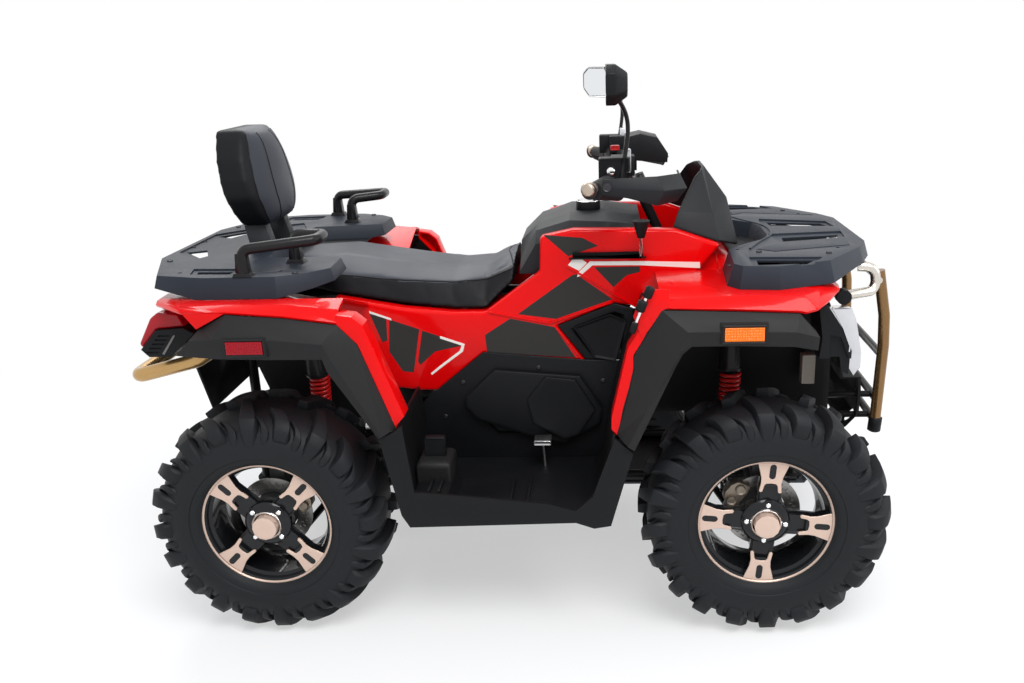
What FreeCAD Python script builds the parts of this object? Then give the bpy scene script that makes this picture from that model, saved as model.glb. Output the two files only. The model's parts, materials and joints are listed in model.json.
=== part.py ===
import FreeCAD, Part
import math
import os

# Quad bike with two-up seat, racks, bumpers and independent suspension.
# Frame: +X forward, +Y to the rider's left, +Z up, millimetres, origin on the ground
# below the middle of the vehicle. Everything on the right side (negative Y) is drawn
# once and mirrored.

V = FreeCAD.Vector
UP = V(0, 0, 1)
FORWARD = V(1, 0, 0)
LEFT = V(0, 1, 0)

# Running gear
WHEELBASE = 1275.0
TYRE_OD = 635.0
AXLE_Z = TYRE_OD / 2
FRONT_AXLE_X = WHEELBASE / 2
REAR_AXLE_X = -WHEELBASE / 2
AXLES_X = (FRONT_AXLE_X, REAR_AXLE_X)
RIM_FACE_Y = 530.0
FRONT_TYRE_WIDTH = 205.0
REAR_TYRE_WIDTH = 250.0
TYRE_BULGE = 24.0
RIM_FLANGE_R = 168.0
RIM_BARREL_R = 152.0
RIM_WALL = 6.0
KINGPIN_Y = 400.0

# Body stations: the body is drawn from two upright station planes near the axles and
# from a datum plane below the axle line
STATION_INSET = 37.5
DATUM_DROP = 17.5
FRONT_STATION = FRONT_AXLE_X - STATION_INSET
REAR_STATION = REAR_AXLE_X + STATION_INSET
DATUM_Z = AXLE_Z - DATUM_DROP
DRAWN_SPAN = 1200.0

# Clearances and common walls
SEAT_GAP = 0.3
RUN_GAP = 6.0
THICK_PANEL = 6.0

# Widths of the body, all measured from the middle plane to one side
FLARE_RIDGE_Y = RIM_FACE_Y + 53.0
FLARE_TOP_Y = RIM_FACE_Y + 18.0
FLARE_LIP_Y = RIM_FACE_Y + 42.0
SKIRT_Y = RIM_FACE_Y + 28.0
COVER_Y = 245.0
RAIL_Y = 150.0
RAIL_R = 16.0


def front(x, z):
    """Side-view point from the front station and the datum plane."""
    return (FRONT_STATION + x, DATUM_Z + z)


def rear(x, z):
    """Side-view point from the rear station and the datum plane."""
    return (REAR_STATION + x, DATUM_Z + z)


def span(x):
    """Lengthwise place in the middle body, which is drawn for one distance of the stations."""
    return x * (FRONT_STATION - REAR_STATION) / DRAWN_SPAN


def mirrored(shape):
    return shape.mirror(V(0, 0, 0), LEFT)


def both_sides(shape):
    return [shape, mirrored(shape)]


def fuse(shapes):
    return shapes[0].multiFuse(shapes[1:]).removeSplitter()


def polygon(points):
    return Part.makePolygon(points + [points[0]])


def side_plate(points, y_low, y_high):
    """Prism from a side-view outline between two distances from the middle plane."""
    face = Part.Face(polygon([V(x, -y_high, z) for x, z in points]))
    return face.extrude(V(0, y_high - y_low, 0))


def plan_plate(points, z_low, z_high):
    face = Part.Face(polygon([V(x, y, z_low) for x, y in points]))
    return face.extrude(V(0, 0, z_high - z_low))


def loft(sections):
    """Ruled solid through closed sections given as lists of 3-D points."""
    return Part.makeLoft([polygon(section) for section in sections], True, True)


def rod(start, end, radius):
    return Part.makeCylinder(radius, (end - start).Length, start, end - start)


def disc_y(centre, radius, y_low, y_high):
    """Cylinder along Y on the right side between two distances from the middle."""
    return Part.makeCylinder(radius, y_high - y_low, V(centre[0], -y_high, centre[1]), LEFT)


def block(x_low, x_high, y_low, y_high, z_low, z_high):
    return Part.makeBox(x_high - x_low, y_high - y_low, z_high - z_low, V(x_low, y_low, z_low))


def tube(points, radius, bend):
    """Round bar along straight runs joined by tangent arcs of one bend radius."""
    edges = []
    start = points[0]
    for before, corner, after in zip(points, points[1:], points[2:]):
        into = (corner - before).normalize()
        out = (after - corner).normalize()
        turn = into.getAngle(out)
        reach = bend * math.tan(turn / 2)
        enter = corner - into * reach
        leave = corner + out * reach
        middle = (out - into).normalize()
        apex = corner + middle * (bend / math.cos(turn / 2) - bend)
        edges.append(Part.LineSegment(start, enter).toShape())
        edges.append(Part.Arc(enter, apex, leave).toShape())
        start = leave
    edges.append(Part.LineSegment(start, points[-1]).toShape())
    profile = Part.Wire([Part.makeCircle(radius, points[0], points[1] - points[0])])
    return Part.Wire(edges).makePipeShell([profile], True, False)


def sewn(faces):
    shell = Part.makeShell(faces)
    shell.sewShape()
    solid = Part.makeSolid(shell)
    if solid.Volume < 0:
        solid.reverse()
    return solid


def triangle(a, b, c):
    return Part.Face(Part.makePolygon([a, b, c, a]))


def panel(stations, offset):
    """Moulded panel of even wall: rows of points, copied by one offset vector."""
    inner = [[point + offset for point in row] for row in stations]
    faces = []
    for flip, rows in ((False, stations), (True, inner)):
        for row, following in zip(rows, rows[1:]):
            for index in range(len(row) - 1):
                corners = [row[index], row[index + 1], following[index + 1], following[index]]
                faces.append(triangle(corners[0], corners[1], corners[2]))
                faces.append(triangle(corners[0], corners[2], corners[3]))
    rims = [list(zip(stations[0], inner[0])), list(zip(stations[-1], inner[-1]))]
    rims.append([(row[0], within[0]) for row, within in zip(stations, inner)])
    rims.append([(row[-1], within[-1]) for row, within in zip(stations, inner)])
    for rim in rims:
        for (a, a_in), (b, b_in) in zip(rim, rim[1:]):
            faces.append(Part.Face(Part.makePolygon([a, b, b_in, a_in, a])))
    return sewn(faces)


def facet_ring(profile, sides, turn=0.0):
    """Ring about the Y axis: a closed (radius, y) profile carried round in flats."""
    rings = []
    for step in range(sides):
        angle = math.radians(turn) + 2 * math.pi * step / sides
        rings.append([V(r * math.sin(angle), y, r * math.cos(angle)) for r, y in profile])
    faces = []
    for step in range(sides):
        here = rings[step]
        there = rings[(step + 1) % sides]
        for index in range(len(profile)):
            after = (index + 1) % len(profile)
            corners = [here[index], here[after], there[after], there[index]]
            faces.append(Part.Face(polygon(corners)))
    return sewn(faces)


def inset(points, distance):
    """Closed outline moved inwards by one distance, corner for corner."""
    area = sum(a[0] * b[1] - b[0] * a[1] for a, b in zip(points, points[1:] + points[:1]))
    side = 1.0 if area > 0 else -1.0
    moved = []
    for index, corner in enumerate(points):
        before = points[index - 1]
        after = points[(index + 1) % len(points)]
        first = V(corner[0] - before[0], corner[1] - before[1], 0).normalize()
        second = V(after[0] - corner[0], after[1] - corner[1], 0).normalize()
        normal_a = V(-first.y, first.x, 0) * side
        normal_b = V(-second.y, second.x, 0) * side
        bisector = normal_a + normal_b
        shift = bisector * (2 * distance / bisector.Length ** 2)
        moved.append((corner[0] + shift.x, corner[1] + shift.y))
    return moved


def save(node, solids):
    shape = Part.makeCompound(solids) if len(solids) > 1 else solids[0]
    shape.exportStep("parts/" + node + ".step")
    bad = [solid for solid in shape.Solids if not solid.isValid()]
    print(node, len(shape.Solids), round(shape.Volume / 1e6, 3), "INVALID" if bad else "")


# Tyres: faceted carcass with slanted lugs from the crown over the shoulder
LUG_PITCHES = 20
LUG_HEIGHT = 20.0
LUG_LEAN = 3.0
LUG_REACH = 76.0
SHOULDER_DROP = 16.0
BEAD_R = RIM_FLANGE_R - 6.0
BEAD_GAP = 0.3
FLANGE_WALL = 5.0


def tyre_ring(half, bead_half, hand, angle, raised):
    """Points of one half of the tyre's section at an angle, with or without a lug."""
    crown = TYRE_OD / 2 - LUG_HEIGHT
    section = [(crown, 0.0, 0.0)]
    if raised:
        section.append((TYRE_OD / 2, half * 0.15, 0.0))
        section.append((TYRE_OD / 2 - SHOULDER_DROP, half * 0.93, LUG_LEAN))
    else:
        section.append((crown - 2.0, half * 0.5, 0.0))
        section.append((crown - SHOULDER_DROP, half * 0.93, LUG_LEAN))
    section.append((TYRE_OD / 2 - LUG_REACH, half, LUG_LEAN))
    section.append((RIM_FLANGE_R + 1.0, bead_half, 0.0))
    section.append((RIM_FLANGE_R + 1.0, bead_half - FLANGE_WALL - BEAD_GAP, 0.0))
    section.append((BEAD_R, bead_half - FLANGE_WALL - BEAD_GAP, 0.0))
    points = []
    for radius, out, lean in section:
        turn = math.radians(angle + lean)
        points.append(V(radius * math.sin(turn), hand * out, radius * math.cos(turn)))
    return points


def tyre(width, axle_x):
    """Tyre on the right side: lugs and gaps by turns, staggered left to right."""
    half = width / 2
    bead_half = half - TYRE_BULGE
    pitch = 180.0 / LUG_PITCHES
    faces = []
    beads = {1: [], -1: []}
    for step in range(2 * LUG_PITCHES):
        for hand in (1, -1):
            raised = (step % 2 == 0) == (hand == 1)
            here = tyre_ring(half, bead_half, hand, step * pitch, raised)
            there = tyre_ring(half, bead_half, hand, (step + 1) * pitch, raised)
            other = tyre_ring(half, bead_half, hand, step * pitch, not raised)
            for a, b, c, d in zip(here, here[1:], there[1:], there):
                faces += [triangle(a, b, c), triangle(a, c, d)]
            faces += [triangle(here[0], here[1], other[1]), triangle(here[1], here[2], other[1])]
            faces += [triangle(other[1], here[2], other[2]), triangle(here[2], here[3], other[2])]
            beads[hand] += [here[-1], there[-1]]
    for step in range(0, 4 * LUG_PITCHES, 2):
        a, b = beads[1][step:step + 2]
        d, c = beads[-1][step:step + 2]
        faces += [triangle(a, b, c), triangle(a, c, d)]
    solid = sewn(faces)
    solid.translate(V(axle_x, half - RIM_FACE_Y - TYRE_BULGE, AXLE_Z))
    return solid


# Alloy wheels with four spokes, hub, brake disc and centre cap
RIM_SIDES = 40
SPOKE_COUNT = 4
SPOKE_DEPTH = 34.0
SPOKE_ROOT = 52.0
SPOKE_TIP = 92.0
HUB_R = 52.0
HUB_BORE_R = 22.3
CAP_R = 30.0
CAP_OUT = 22.0
DISC_R = 92.0
DISC_WALL = 5.0
SPINDLE_R = 22.0
KNUCKLE_FACE_Y = 446.0


def rim(width, axle_x, turn):
    """Rim barrel, spokes, hub and brake disc in one solid."""
    depth = width - 2 * TYRE_BULGE
    outer = RIM_FACE_Y
    inner = RIM_FACE_Y - depth
    hump = BEAD_R - 4.0 - BEAD_GAP
    profile = [
        (RIM_FLANGE_R, -outer),
        (RIM_FLANGE_R, -outer + FLANGE_WALL),
        (BEAD_R - BEAD_GAP, -outer + FLANGE_WALL),
        (hump, -outer + 18.0),
        (RIM_BARREL_R, -(outer + inner) / 2),
        (hump, -inner - 18.0),
        (BEAD_R - BEAD_GAP, -inner - FLANGE_WALL),
        (RIM_FLANGE_R, -inner - FLANGE_WALL),
        (RIM_FLANGE_R, -inner),
        (RIM_BARREL_R - RIM_WALL + 2.0, -inner - 14.0),
        (RIM_BARREL_R - RIM_WALL, -(outer + inner) / 2),
        (RIM_BARREL_R - RIM_WALL + 2.0, -outer + 8.0),
    ]
    barrel = facet_ring(profile, RIM_SIDES)
    reach = RIM_BARREL_R - RIM_WALL + 4.0
    spoke_outline = [
        (-SPOKE_ROOT / 2, HUB_R - 12.0),
        (SPOKE_ROOT / 2, HUB_R - 12.0),
        (SPOKE_ROOT / 2, reach * 0.62),
        (SPOKE_TIP / 2, reach - 8.0),
        (0.0, reach),
        (-SPOKE_TIP / 2, reach - 8.0),
        (-SPOKE_ROOT / 2, reach * 0.62),
    ]
    pieces = [barrel]
    face_y = RIM_FACE_Y - 2.0
    for step in range(SPOKE_COUNT):
        spoke = side_plate(spoke_outline, face_y - SPOKE_DEPTH, face_y)
        slot_low = disc_y((0.0, reach * 0.74), 8.0, face_y - 60.0, face_y + 10.0)
        slot_high = disc_y((0.0, reach * 0.86), 8.0, face_y - 60.0, face_y + 10.0)
        spoke = spoke.cut(slot_low).cut(slot_high)
        spoke.rotate(V(0, 0, 0), LEFT, turn + 360.0 * step / SPOKE_COUNT)
        pieces.append(spoke)
    hub_back = KNUCKLE_FACE_Y + RUN_GAP
    pieces.append(disc_y((0, 0), HUB_R, face_y - 46.0, face_y - 12.0))
    pieces.append(disc_y((0, 0), HUB_R - 14.0, hub_back, face_y - 40.0))
    pieces.append(disc_y((0, 0), DISC_R, hub_back, hub_back + DISC_WALL))
    pieces.append(disc_y((0, 0), CAP_R, face_y - 20.0, face_y + CAP_OUT))
    solid = fuse(pieces)
    bore_depth = face_y - 18.0 - hub_back
    solid = solid.cut(disc_y((0, 0), HUB_BORE_R, hub_back - 5.0, hub_back + bore_depth))
    solid.translate(V(axle_x, 0, AXLE_Z))
    return solid


# Knuckles and hub carriers
CUP_R = 58.0
CUP_BORE_R = 43.0
CUP_BACK_Y = 372.0
CUP_FLOOR = 8.0
LUG_HALF = 20.0
LUG_TOP = 110.0
BOSS_R = 20.0
BOSS_HEIGHT = 20.0
STEER_ARM = 90.0
STEER_OUT = 22.0
ROD_END_RISE = 60.0
ROD_R = 8.0
ROD_BALL_R = 13.0


def carrier(axle_x):
    """Hub carrier on the right: cup for the drive joint, lugs and stub axle."""
    spindle_end = RIM_FACE_Y - 2.0 - 18.0 - RUN_GAP
    pieces = [
        disc_y((0, 0), CUP_R, CUP_BACK_Y, KNUCKLE_FACE_Y),
        block(-LUG_HALF, LUG_HALF, -KINGPIN_Y - 18.0, -KINGPIN_Y + 18.0, 40.0, LUG_TOP),
        block(-LUG_HALF, LUG_HALF, -KINGPIN_Y - 18.0, -KINGPIN_Y + 18.0, -LUG_TOP, -40.0),
        disc_y((0, 0), SPINDLE_R, KNUCKLE_FACE_Y - 5.0, spindle_end),
    ]
    solid = fuse(pieces)
    cup_depth = KNUCKLE_FACE_Y - CUP_FLOOR - CUP_BACK_Y
    solid = solid.cut(disc_y((0, 0), CUP_BORE_R, CUP_BACK_Y - 1.0, CUP_BACK_Y + cup_depth))
    solid.translate(V(axle_x, 0, AXLE_Z))
    return solid


def rod_end_point():
    """Outer tie-rod joint, from the front kingpin on the right side."""
    return V(FRONT_AXLE_X - STEER_ARM, -(KINGPIN_Y + STEER_OUT), AXLE_Z + ROD_END_RISE)


def knuckle():
    """Front knuckle: the hub carrier with a steering arm and a joint plate."""
    end = rod_end_point()
    root = V(FRONT_AXLE_X - CUP_R + 8.0, -KINGPIN_Y - 4.0, AXLE_Z + 20.0)
    plate_top = end.z - ROD_BALL_R - SEAT_GAP
    foot = V(end.x, end.y, plate_top - 10.0)
    arm = rod(root, V(foot.x, foot.y, foot.z + 5.0), 9.0)
    plate = Part.makeCylinder(ROD_BALL_R, 10.0, foot, UP)
    pin = Part.makeCylinder(3.5, 30.0, foot, UP)
    solid = carrier(FRONT_AXLE_X).fuse([arm, plate])
    arm_over = Part.makeCylinder(ROD_BALL_R + 6.0, 80.0, V(end.x, end.y, plate_top), UP)
    return solid.cut(arm_over).fuse(pin).removeSplitter()


# Tie rods run from the knuckle arm to the pitman plate below the steering column
PITMAN_Z = AXLE_Z + 112.0
PITMAN_CLEAR = 10.0


def tie_rod():
    end = rod_end_point()
    inner = V(end.x, -STEER_OUT, PITMAN_Z - PITMAN_CLEAR - ROD_BALL_R)
    solid = rod(end, inner, ROD_R).fuse([
        Part.makeCylinder(ROD_BALL_R, 16.0, end - UP * ROD_BALL_R, UP),
        Part.makeSphere(ROD_BALL_R, inner),
    ])
    hole = Part.makeCylinder(3.8, 60.0, end - UP * 30.0, UP)
    return solid.cut(hole)


# Suspension arms, half shafts, springs and dampers
ARM_R = 10.0
ARM_BEND = 40.0
NECK_DROP = 4.0
NECK_REACH = 44.0
NECK_SPREAD = 16.0
BUSH_R = 14.0
BUSH_LENGTH = 40.0
LOWER_PIVOT_Z = DATUM_Z - 30.0
UPPER_PIVOT_Z = DATUM_Z + 147.0
UPPER_RAIL_R = 12.0
ARM_SPREAD = 105.0


def arm_neck(axle_x, hand, z):
    """Where an arm's leg turns level, just inboard of the knuckle's lug."""
    return V(axle_x + hand * NECK_SPREAD, -(KINGPIN_Y - NECK_REACH), z)


def wishbone(axle_x, upper, outer_y):
    """One A-arm: two bushes at the frame, two bent legs and a ball boss at the knuckle."""
    side = 1.0 if upper else -1.0
    rail_r = UPPER_RAIL_R if upper else RAIL_R
    pivot_z = UPPER_PIVOT_Z if upper else LOWER_PIVOT_Z
    pivot_y = RAIL_Y + rail_r + BUSH_R + SEAT_GAP
    boss_z = AXLE_Z + side * (LUG_TOP + SEAT_GAP + BOSS_HEIGHT / 2)
    boss = V(axle_x, -outer_y, boss_z)
    pieces = [Part.makeCylinder(BOSS_R, BOSS_HEIGHT, boss - UP * BOSS_HEIGHT / 2, UP)]
    for hand in (-1, 1):
        pivot = V(axle_x + hand * ARM_SPREAD, -pivot_y, pivot_z)
        neck = arm_neck(axle_x, hand, boss_z + side * NECK_DROP)
        bush = Part.makeCylinder(BUSH_R, BUSH_LENGTH, pivot - FORWARD * BUSH_LENGTH / 2, FORWARD)
        pieces.append(bush)
        pieces.append(tube([pivot, neck, boss + UP * side * NECK_DROP], ARM_R, ARM_BEND))
    return fuse(pieces)


SHAFT_R = 14.0
JOINT_R = 36.0
DIFF_HALF_WIDTH = 84.0
DIFF_R = 56.0


def half_shaft(axle_x):
    """Drive shaft with a boot at the differential and a ball joint in the cup."""
    inner = -(DIFF_HALF_WIDTH + SEAT_GAP)
    outer = -KINGPIN_Y
    centre = V(axle_x, outer, AXLE_Z)
    boot = Part.makeCone(JOINT_R, SHAFT_R, 70.0, V(axle_x, inner, AXLE_Z), V(0, -1, 0))
    shaft = rod(V(axle_x, inner, AXLE_Z), centre, SHAFT_R)
    return fuse([shaft, boot, Part.makeSphere(JOINT_R, centre)])


def differential(axle_x):
    housing = disc_y((axle_x, AXLE_Z), DIFF_R, -DIFF_HALF_WIDTH, DIFF_HALF_WIDTH)
    toward = 1.0 if axle_x < 0 else -1.0
    snout = rod(V(axle_x, 0, AXLE_Z), V(axle_x + toward * 110.0, 0, AXLE_Z), 34.0)
    reach = RAIL_Y - RAIL_R - SEAT_GAP
    foot = block(axle_x - 14.0, axle_x + 14.0, -reach, reach, LOWER_PIVOT_Z - 8.0, LOWER_PIVOT_Z + 6.0)
    return fuse([housing, snout, foot])


DAMPER_R = 13.5
SPRING_R = 29.0
SPRING_WIRE_R = 5.0
SPRING_SEAT = 3.0
COIL_TURNS = 7
COIL_STEPS = 10
WIRE_SIDES = 6
DAMPER_TOP_Z = DATUM_Z + 428.0
FRONT_DAMPER_BACK = 62.0
FRONT_DAMPER_TOP_Y = 246.0
REAR_DAMPER_AHEAD = 84.0
REAR_DAMPER_TOP_Y = 262.0
DAMPER_EYE_R = 15.0


def arm_point(axle_x, along_x):
    """Top of the upper arm's leg, a share of the way in from the knuckle."""
    hand = 1.0 if along_x > 0 else -1.0
    pivot_y = RAIL_Y + UPPER_RAIL_R + BUSH_R + SEAT_GAP
    pivot = V(axle_x + hand * ARM_SPREAD, -pivot_y, UPPER_PIVOT_Z)
    boss_z = AXLE_Z + LUG_TOP + SEAT_GAP + BOSS_HEIGHT / 2
    neck = arm_neck(axle_x, hand, boss_z + NECK_DROP)
    share = (abs(along_x) - NECK_SPREAD) / (ARM_SPREAD - NECK_SPREAD)
    return neck + (pivot - neck) * share


def damper_line(axle_x, along_x, top_y):
    foot = arm_point(axle_x, along_x) + UP * (ARM_R + DAMPER_EYE_R + 2 * SEAT_GAP)
    top = V(foot.x, -top_y, DAMPER_TOP_Z)
    return foot, top


def damper(axle_x, along_x, top_y):
    foot, top = damper_line(axle_x, along_x, top_y)
    line = top - foot
    along = V(line).normalize()
    eye_low = Part.makeCylinder(DAMPER_EYE_R, 26.0, foot - FORWARD * 13.0, FORWARD)
    eye_top = Part.makeCylinder(DAMPER_EYE_R, 26.0, top - FORWARD * 13.0, FORWARD)
    lower_seat = rod(foot + along * 50.0, foot + along * 58.0, SPRING_R + SPRING_SEAT)
    upper_seat = rod(foot + line * 0.62, foot + line * 0.62 + along * 8.0, SPRING_R + SPRING_SEAT)
    shroud = rod(foot + line * 0.62, top - along * 12.0, SPRING_R)
    body = rod(foot, top, DAMPER_R)
    return fuse([body, eye_low, eye_top, lower_seat, upper_seat, shroud])


def spring(axle_x, along_x, top_y):
    """Coil spring between the two seats of a damper, its wire drawn in flats."""
    foot, top = damper_line(axle_x, along_x, top_y)
    line = top - foot
    along = V(line).normalize()
    start = foot + along * (58.0 + SEAT_GAP + SPRING_WIRE_R)
    rise = line.Length * 0.62 - 58.0 - 2 * SEAT_GAP - 2 * SPRING_WIRE_R
    across = along.cross(FORWARD).normalize()
    beside = along.cross(across)
    rings = []
    count = COIL_TURNS * COIL_STEPS
    for step in range(count + 1):
        turn = 2 * math.pi * step / COIL_STEPS
        outward = across * math.cos(turn) + beside * math.sin(turn)
        centre = start + along * (rise * step / count) + outward * (SPRING_R - SPRING_WIRE_R)
        ring = []
        for side in range(WIRE_SIDES):
            angle = 2 * math.pi * side / WIRE_SIDES
            corner = along * math.cos(angle) + outward * math.sin(angle)
            ring.append(centre + corner * SPRING_WIRE_R)
        rings.append(ring)
    faces = [Part.Face(polygon(rings[0])), Part.Face(polygon(rings[-1]))]
    for here, there in zip(rings, rings[1:]):
        for index in range(WIRE_SIDES):
            after = (index + 1) % WIRE_SIDES
            faces.append(triangle(here[index], here[after], there[after]))
            faces.append(triangle(here[index], there[after], there[index]))
    return sewn(faces)


# Frame of round tube, engine block, belly plate and exhaust
RAIL_FRONT_X = FRONT_AXLE_X + 150.0
RAIL_REAR_X = REAR_AXLE_X - 150.0
TOP_RAIL_Z = DATUM_Z + 460.0
POST_OFFSET = 135.0
TOP_RAIL_REAR_X = RAIL_REAR_X + 2.0
CROSS_R = 14.0
STAY_R = 10.0
PANEL_INNER_Y = COVER_Y - 50.0
MUFFLER_R = 66.0
MUFFLER_HALF = 124.0
OUTLET_R = 18.0
OUTLET_Y = -90.0
OUTLET_ROOM = 8.0
MUFFLER_X = REAR_AXLE_X - 90.0
ENGINE_MOUNTS_X = (span(-250.0), span(170.0))
PANEL_STAYS_X = (span(-250.0), span(60.0))
RACK_POST_X = REAR_AXLE_X - 120.0
RACK_FRONT_LOW = DATUM_Z + 604.0
RACK_FRONT_TOP = DATUM_Z + 658.0
RACK_REAR_LOW = DATUM_Z + 604.0
RACK_REAR_TOP = DATUM_Z + 656.0
RACK_WALL = 6.0
RACK_DECK = 11.0
RACK_SINK = 5.0
TRACK_REACH = FLARE_RIDGE_Y + 20.0
HOOD_POST_X = FRONT_STATION + 98.0
HOOD_POST_TOP = DATUM_Z + 592.0 - THICK_PANEL
NOSE_HALF = 250.0
NOSE_WALL = 14.0


def frame():
    pieces = []
    for y in (-RAIL_Y, RAIL_Y):
        top_end = V(FRONT_AXLE_X + POST_OFFSET, y, TOP_RAIL_Z)
        pieces.append(rod(V(TOP_RAIL_REAR_X, y, TOP_RAIL_Z), top_end, RAIL_R))
        pieces.append(rod(V(RAIL_REAR_X, y, LOWER_PIVOT_Z), V(RAIL_FRONT_X, y, LOWER_PIVOT_Z), RAIL_R))
        for axle in AXLES_X:
            for hand in (-1, 1):
                x = axle + hand * POST_OFFSET
                pieces.append(rod(V(x, y, LOWER_PIVOT_Z), V(x, y, TOP_RAIL_Z), RAIL_R - 2.0))
            rail_end = V(axle + POST_OFFSET, y, UPPER_PIVOT_Z)
            pieces.append(rod(V(axle - POST_OFFSET, y, UPPER_PIVOT_Z), rail_end, UPPER_RAIL_R))
    for axle, ahead, top_y in (
        (FRONT_AXLE_X, -FRONT_DAMPER_BACK, FRONT_DAMPER_TOP_Y),
        (REAR_AXLE_X, REAR_DAMPER_AHEAD, REAR_DAMPER_TOP_Y),
    ):
        x = axle + ahead
        reach = top_y + 20.0
        z = DAMPER_TOP_Z + DAMPER_EYE_R + SEAT_GAP + 12.0
        pieces.append(rod(V(x, -reach, z), V(x, reach, z), 12.0))
        for y in (-RAIL_Y, RAIL_Y):
            pieces.append(rod(V(x, y, z), V(x, y, TOP_RAIL_Z), 12.0))
    low_cross = (RAIL_REAR_X, REAR_AXLE_X + POST_OFFSET, FRONT_AXLE_X - POST_OFFSET, RAIL_FRONT_X)
    for x in low_cross + ENGINE_MOUNTS_X:
        pieces.append(rod(V(x, -RAIL_Y, LOWER_PIVOT_Z), V(x, RAIL_Y, LOWER_PIVOT_Z), CROSS_R))
    stay = PANEL_INNER_Y - SEAT_GAP
    nose_stay = NOSE_HALF - NOSE_WALL - SEAT_GAP
    for x, half in (
        (TOP_RAIL_REAR_X, RAIL_Y), (MUFFLER_X, RAIL_Y), (REAR_AXLE_X + POST_OFFSET, RAIL_Y),
        (FRONT_AXLE_X + POST_OFFSET, nose_stay), (PANEL_STAYS_X[0], stay), (PANEL_STAYS_X[1], stay),
    ):
        pieces.append(rod(V(x, -half, TOP_RAIL_Z), V(x, half, TOP_RAIL_Z), CROSS_R))
    for y in (-RAIL_Y, RAIL_Y):
        rack_under = RACK_REAR_TOP - RACK_DECK - SEAT_GAP
        pieces.append(rod(V(RACK_POST_X, y, TOP_RAIL_Z), V(RACK_POST_X, y, rack_under), STAY_R))
        inner = y * 0.7
        pieces.append(tube([
            V(HOOD_POST_X, y, TOP_RAIL_Z), V(HOOD_POST_X, y, TOP_RAIL_Z + 60.0),
            V(HOOD_POST_X, inner, TOP_RAIL_Z + 90.0), V(HOOD_POST_X, inner, HOOD_POST_TOP - SEAT_GAP),
        ], STAY_R, 14.0))
    return fuse(pieces + column_bearings())


def column_bearings():
    """Two rings round the steering column, each on its own cross tube."""
    axis = steering_axis()
    pieces = []
    lower = COLUMN_FOOT + axis * ((UPPER_PIVOT_Z + 44.0 - COLUMN_FOOT.z) / axis.z)
    upper = COLUMN_FOOT + axis * ((TOP_RAIL_Z - COLUMN_FOOT.z) / axis.z)
    for point in (lower, upper):
        ring = rod(point - axis * 14.0, point + axis * 14.0, COLUMN_R + 8.0)
        pieces.append(ring.cut(rod(point - axis * 20.0, point + axis * 20.0, COLUMN_R + SEAT_GAP)))
    ahead = COLUMN_R + 4.0
    rise = lower.z
    for hand in (-1, 1):
        pieces.append(tube([
            V(lower.x, hand * ahead, rise), V(lower.x, hand * (RAIL_Y - 40.0), rise),
            V(lower.x, hand * RAIL_Y, UPPER_PIVOT_Z),
        ], STAY_R, 14.0))
        pieces.append(rod(V(upper.x, hand * ahead, upper.z), V(upper.x, hand * RAIL_Y, upper.z), STAY_R))
    return pieces


def belly_plate():
    top = LOWER_PIVOT_Z - RAIL_R - SEAT_GAP
    half = RAIL_Y + 14.0
    lift = 46.0
    floor = [
        (RAIL_REAR_X + 110.0, top - THICK_PANEL),
        (RAIL_FRONT_X + 22.0, top - THICK_PANEL),
        (RAIL_FRONT_X + 66.0, top + lift),
        (RAIL_FRONT_X + 59.0, top + lift),
        (RAIL_FRONT_X + 19.0, top),
        (RAIL_REAR_X + 110.0, top),
    ]
    return side_plate(floor, -half, half)


def engine():
    """Engine and gearbox as one block in the frame bay."""
    low = LOWER_PIVOT_Z + CROSS_R + SEAT_GAP
    outline = [
        (-300.0, low), (230.0, low), (250.0, low + 170.0), (120.0, low + 330.0),
        (-60.0, low + 330.0), (-120.0, low + 200.0), (-300.0, low + 170.0),
    ]
    half = RAIL_Y - RAIL_R - 6.0
    return side_plate([(span(x), z) for x, z in outline], -half, half)


def muffler_outlet(radius):
    """Outlet pipe of the muffler, or with more radius the opening it passes through."""
    place = V(MUFFLER_X, OUTLET_Y, TOP_RAIL_Z - CROSS_R - SEAT_GAP - MUFFLER_R)
    return rod(place - FORWARD * 40.0, place - FORWARD * 150.0 - UP * 10.0, radius)


def muffler():
    """Round muffler across the frame below its rear cross tube."""
    start = V(MUFFLER_X, 0, TOP_RAIL_Z - CROSS_R - SEAT_GAP - MUFFLER_R)
    body = rod(start - LEFT * MUFFLER_HALF, start + LEFT * MUFFLER_HALF, MUFFLER_R)
    return fuse([body, muffler_outlet(OUTLET_R)])


# Steering column, handlebar and what turns with it
COLUMN_R = 14.0
COLUMN_FOOT = V(FRONT_AXLE_X, 0, PITMAN_Z + 16.0)
CLAMP = V(span(335.0), 0, DATUM_Z + 800.0)
BAR_R = 11.0
GRIP_R = 16.0
STEM_R = 5.5
GRIP_LENGTH = 125.0
BAR_END = V(CLAMP.x - 121.0, -424.0, DATUM_Z + 844.0)


def steering_axis():
    return (CLAMP - COLUMN_FOOT).normalize()


def column():
    axis = steering_axis()
    shaft = rod(COLUMN_FOOT, CLAMP + axis * 20.0, COLUMN_R)
    plate = [
        (FRONT_AXLE_X + 20.0, 18.0), (FRONT_AXLE_X + 20.0, -18.0),
        (FRONT_AXLE_X - STEER_ARM - 14.0, -STEER_OUT - 14.0),
        (FRONT_AXLE_X - STEER_ARM - 14.0, STEER_OUT + 14.0),
    ]
    pitman = plan_plate(plate, PITMAN_Z, PITMAN_Z + 8.0)
    foot = rod(COLUMN_FOOT - UP * 14.0, COLUMN_FOOT + UP * 6.0, COLUMN_R + 4.0)
    clamp = rod(CLAMP + axis * 2.0, CLAMP + axis * 20.0, 30.0)
    return fuse([shaft, pitman, foot, clamp])


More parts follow.
